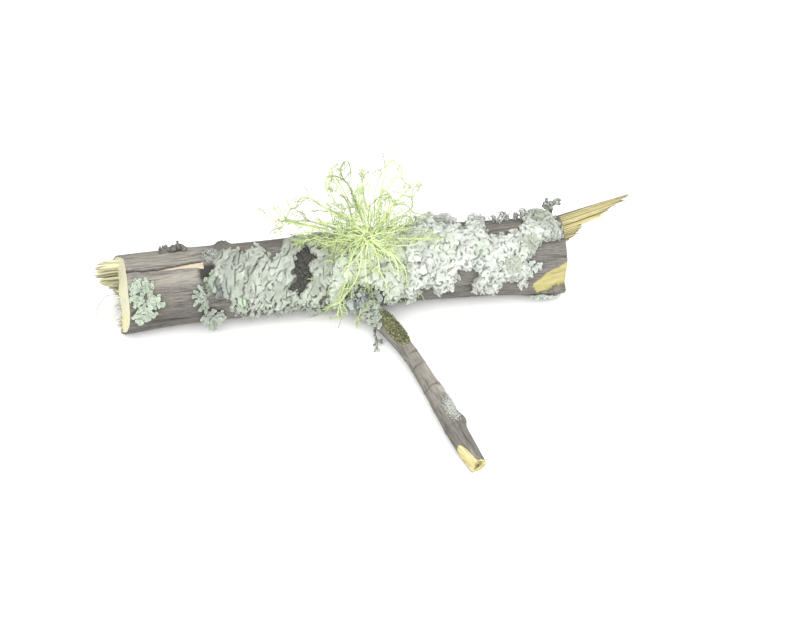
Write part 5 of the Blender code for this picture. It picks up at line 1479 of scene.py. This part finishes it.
def branchlets(parents, count, lengths, steps, shares):
    """Finer strands that leave parents to either side and bend forwards. Long and outer parents bear more."""
    points = parents.shape[1]
    whole = np.linalg.norm(np.diff(parents, axis=1), axis=-1).sum(1)
    weight = whole * np.clip(np.linalg.norm(parents[:, points // 2] - HOLDFAST, axis=-1) / 12, 0.25, 1.0)
    row = rng.choice(len(parents), count, p=weight / weight.sum())
    at = rng.uniform(*shares, count) * (points - 1)
    low = np.clip(at.astype(int), 0, points - 2)
    part = (at - low)[:, None]
    start = parents[row, low] * (1 - part) + parents[row, low + 1] * part
    run = parents[row, low + 1] - parents[row, low]
    run /= np.linalg.norm(run, axis=-1, keepdims=True)
    away = np.cross(run, rng.normal(0, 1, run.shape))
    away /= np.linalg.norm(away, axis=-1, keepdims=True)
    bent = np.cross(run, away)
    reach = rng.uniform(*lengths, count) * (1.15 - 0.5 * at / points)
    reach = np.minimum(reach, 0.6 * whole[row])[:, None, None]
    share = np.linspace(0, 1, steps)[None, :, None]
    swing = each(-0.7, 0.7, count, rng)
    grown = (away[:, None] * 0.95 + run[:, None] * 0.45) * share
    grown = grown + (run[:, None] * 0.35 + bent[:, None] * swing - away[:, None] * 0.30) * share**2
    return start[:, None] + grown * reach


def strands(name, paths, thick, tip, green_from, sides):
    """Tapering strands, yellower and lighter near the holdfast and green from this far out."""
    share = np.linspace(0, 1, paths.shape[1])[None]
    half = thick + (tip - thick) * share + np.zeros((len(paths), 1))
    places, faces = drawn_out(paths, half, half, (0.3, 0.2, 0.9), sides)
    far = np.linalg.norm(paths - HOLDFAST, axis=-1)[..., None]
    colour = CORE_GREEN + (TIP_GREEN - CORE_GREEN) * step(far, 3, green_from)
    colour = colour * rng.choice([0.48, 0.75, 1.05, 1.25], (len(paths), 1, 1), p=[0.12, 0.21, 0.38, 0.29])
    paint = np.repeat(np.concatenate([colour, np.ones_like(far)], -1).reshape(-1, 4), sides, axis=0)
    piece = add_piece(name, places, faces, beard_finish, paint=np.clip(paint, 0, 1))
    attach(piece, "root")
    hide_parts("beard_lichen")


stout = (np.arange(len(main)) < len(TRACED))[:, None]
strands("beard_strands", main, np.where(stout, 0.29, 0.19), np.where(stout, 0.18, 0.13), 22, 6)
strands("beard_curls", curls, 0.14, 0.08, 22, 5)
first = off_the_stick(branchlets(np.concatenate([main, curls]), 800, (2.2, 6.8), 9, (0.2, 1.0)), 0.4)
strands("beard_branchlets", first, 0.135, 0.10, 20, 4)
second = off_the_stick(branchlets(first, 2200, (1.0, 2.8), 5, (0.35, 1.0)), 0.3)
strands("beard_fibrils", second, 0.09, 0.07, 20, 3)
foot = HOLDFAST + rng.normal(0, 1, (HOLDFAST_LUMPS, 3)) * (1.2, 1.2, 0.7)
paths = np.stack([foot, foot + rng.normal(0, 0.7, (HOLDFAST_LUMPS, 3)), foot + (0, 0, 1.2)], 1)
half = np.full((HOLDFAST_LUMPS, 3), 0.6)
places, faces = drawn_out(paths, half, half, (0.3, 0.9, 0.2), 7)
holdfast = add_piece("beard_holdfast", places, faces, beard_finish,
                     paint=colours(CORE_GREEN * 0.7, len(places)))
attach(holdfast, "root")
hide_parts("beard_lichen")

# ---- The sprigs and the flake
# Two tiny dark shrubby lichens stick out, one at the top of the right end and one on the left side of the
# twig. At the back of the left end a curled flake of dead grey lichen stands on the bark, with crumbs of
# crust on it.

SPRIGS = {
    "right_sprig": [  # the stem, and then its forks
        [(66.4, 9.6, 23.6), (66.6, 9.4, 26.2), (66.2, 9.0, 28.0)],
        [(66.2, 9.1, 27.4), (64.9, 8.8, 29.0), (64.5, 8.6, 31.8)],
        [(66.4, 9.2, 26.6), (64.9, 9.0, 26.9), (63.5, 8.8, 28.6)],
        [(66.3, 9.1, 27.8), (67.4, 9.0, 28.7), (67.6, 8.8, 30.4), (68.9, 8.8, 31.0), (69.4, 8.8, 29.8)],
        [(67.4, 9.0, 28.6), (68.8, 8.9, 28.8), (69.9, 8.7, 28.4)],
        [(64.6, 8.7, 29.3), (63.6, 8.6, 29.8)],
        [(66.2, 9.0, 28.0), (66.3, 8.8, 29.2), (66.0, 8.6, 30.2)],
    ],
    "twig_sprig": [
        [(1.0, -17.4, 3.0), (0.5, -20.5, 2.2), (0.8, -23.4, 1.6), (0.6, -26.4, 1.2)],
        [(0.7, -22.8, 1.7), (1.9, -23.2, 1.6), (2.7, -24.4, 1.5)],
        [(1.9, -23.2, 1.6), (3.0, -22.9, 1.7)],
        [(0.7, -24.2, 1.5), (-0.5, -24.9, 1.4)],
        [(0.6, -26.2, 1.2), (-0.6, -27.6, 1.1)],
        [(0.6, -26.2, 1.2), (1.5, -27.7, 1.1)],
    ],
}
SPRIG_SCALE = {"right_sprig": 1.0, "twig_sprig": 0.66}
FLAKE = [(-69.8, 117, 1.8, 170), (-68.2, 120, 2.0, 120), (-67.2, 113, 1.9, 250), (-65.6, 118, 2.2, 90),
         (-64.2, 113, 2.2, 60), (-62.9, 117, 1.9, 20), (-62.6, 111, 1.6, 320),
         (-65.2, 109, 1.7, 270)]  # where its scales are, their lengths and headings
FLAKE_LUMPS = 60

sprig_finish, sprig_shader, place = finish("shrubby_lichen", 0.85)
sprig_colour = place.noise(1.1, 4, 0.6).ramp((0.35, (0.085, 0.09, 0.075)), (0.52, (0.22, 0.235, 0.20)),
                                             (0.68, (0.48, 0.51, 0.45)))
feed(sprig_shader, "Base Color", sprig_colour)
feed_bump(sprig_shader, place.noise(5.0, 3), 0.2, 0.7)
for name, courses in SPRIGS.items():
    share = np.linspace(0, 1, 14)
    paths = np.array([through(path, share) for path in courses])
    paths += 0.18 * wandering(paths, 0.9, 91)
    half = np.where(np.arange(len(paths))[:, None] == 0, 0.90, 0.78)  # the stem is stouter
    half = half * (1 - 0.25 * share[None] + 0.25 * noise(paths * 1.4, 94)) * SPRIG_SCALE[name]
    half[:, -1] *= 0.45
    places, faces = drawn_out(paths, half, half * 0.8, (0.2, 0.9, 0.3), 9)
    piece = add_piece(name + "_branches", places, faces, sprig_finish)
    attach(piece, "root")
    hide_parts(name)

rng = np.random.default_rng(95)
x, angle, length, heading = np.array(FLAKE).T
spots = np.stack([x, angle * AROUND], -1)
lifts = rng.uniform(0.3, 1.0, len(FLAKE))
flat, share = fans(spots, np.radians(heading), length, 0.8, lifts, 0.6, 9, 13, rng)
flat[..., 2] += 0.3
body = tinted(np.stack([x, angle], -1), (0.13, 0.13, 0.115), (), rng)
places, faces = shells(around_stick(flat), 0.22)
# Its scales are painted darker at their roots as shade and paler at their rims as a highlight.
paint = body[:, None, None] * (0.6 + 1.3 * step(share, 0.6, 1.0))[..., None]
paint = opaque(np.stack([paint, paint * 0.7], 1).reshape(-1, 3))
flake = add_piece("dry_flake_scales", places, faces.tolist(), leafy_finish, paint=paint)
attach(flake, "root")
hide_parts("dry_flake")
x = rng.uniform(-70.2, -61.6, FLAKE_LUMPS)
crown = np.interp(x, [-71, -68.5, -66, -64.2, -63.2, -61.5], [0.2, 1.1, 1.0, 3.0, 1.6, 0.4])
round_stick = (115 + rng.normal(0, 2.6, FLAKE_LUMPS)) * AROUND
centres = around_stick(np.stack([x, round_stick, crown * rng.uniform(0.2, 1, FLAKE_LUMPS)], -1))
sizes = rng.uniform(0.45, 0.85, FLAKE_LUMPS)
lumps("dry_flake_lumps", "dry_flake", "dry_crust", centres, sizes, 96)

size = {"cad": [list(corner) for corner in cad_box], "visual": [list(corner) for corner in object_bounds()]}
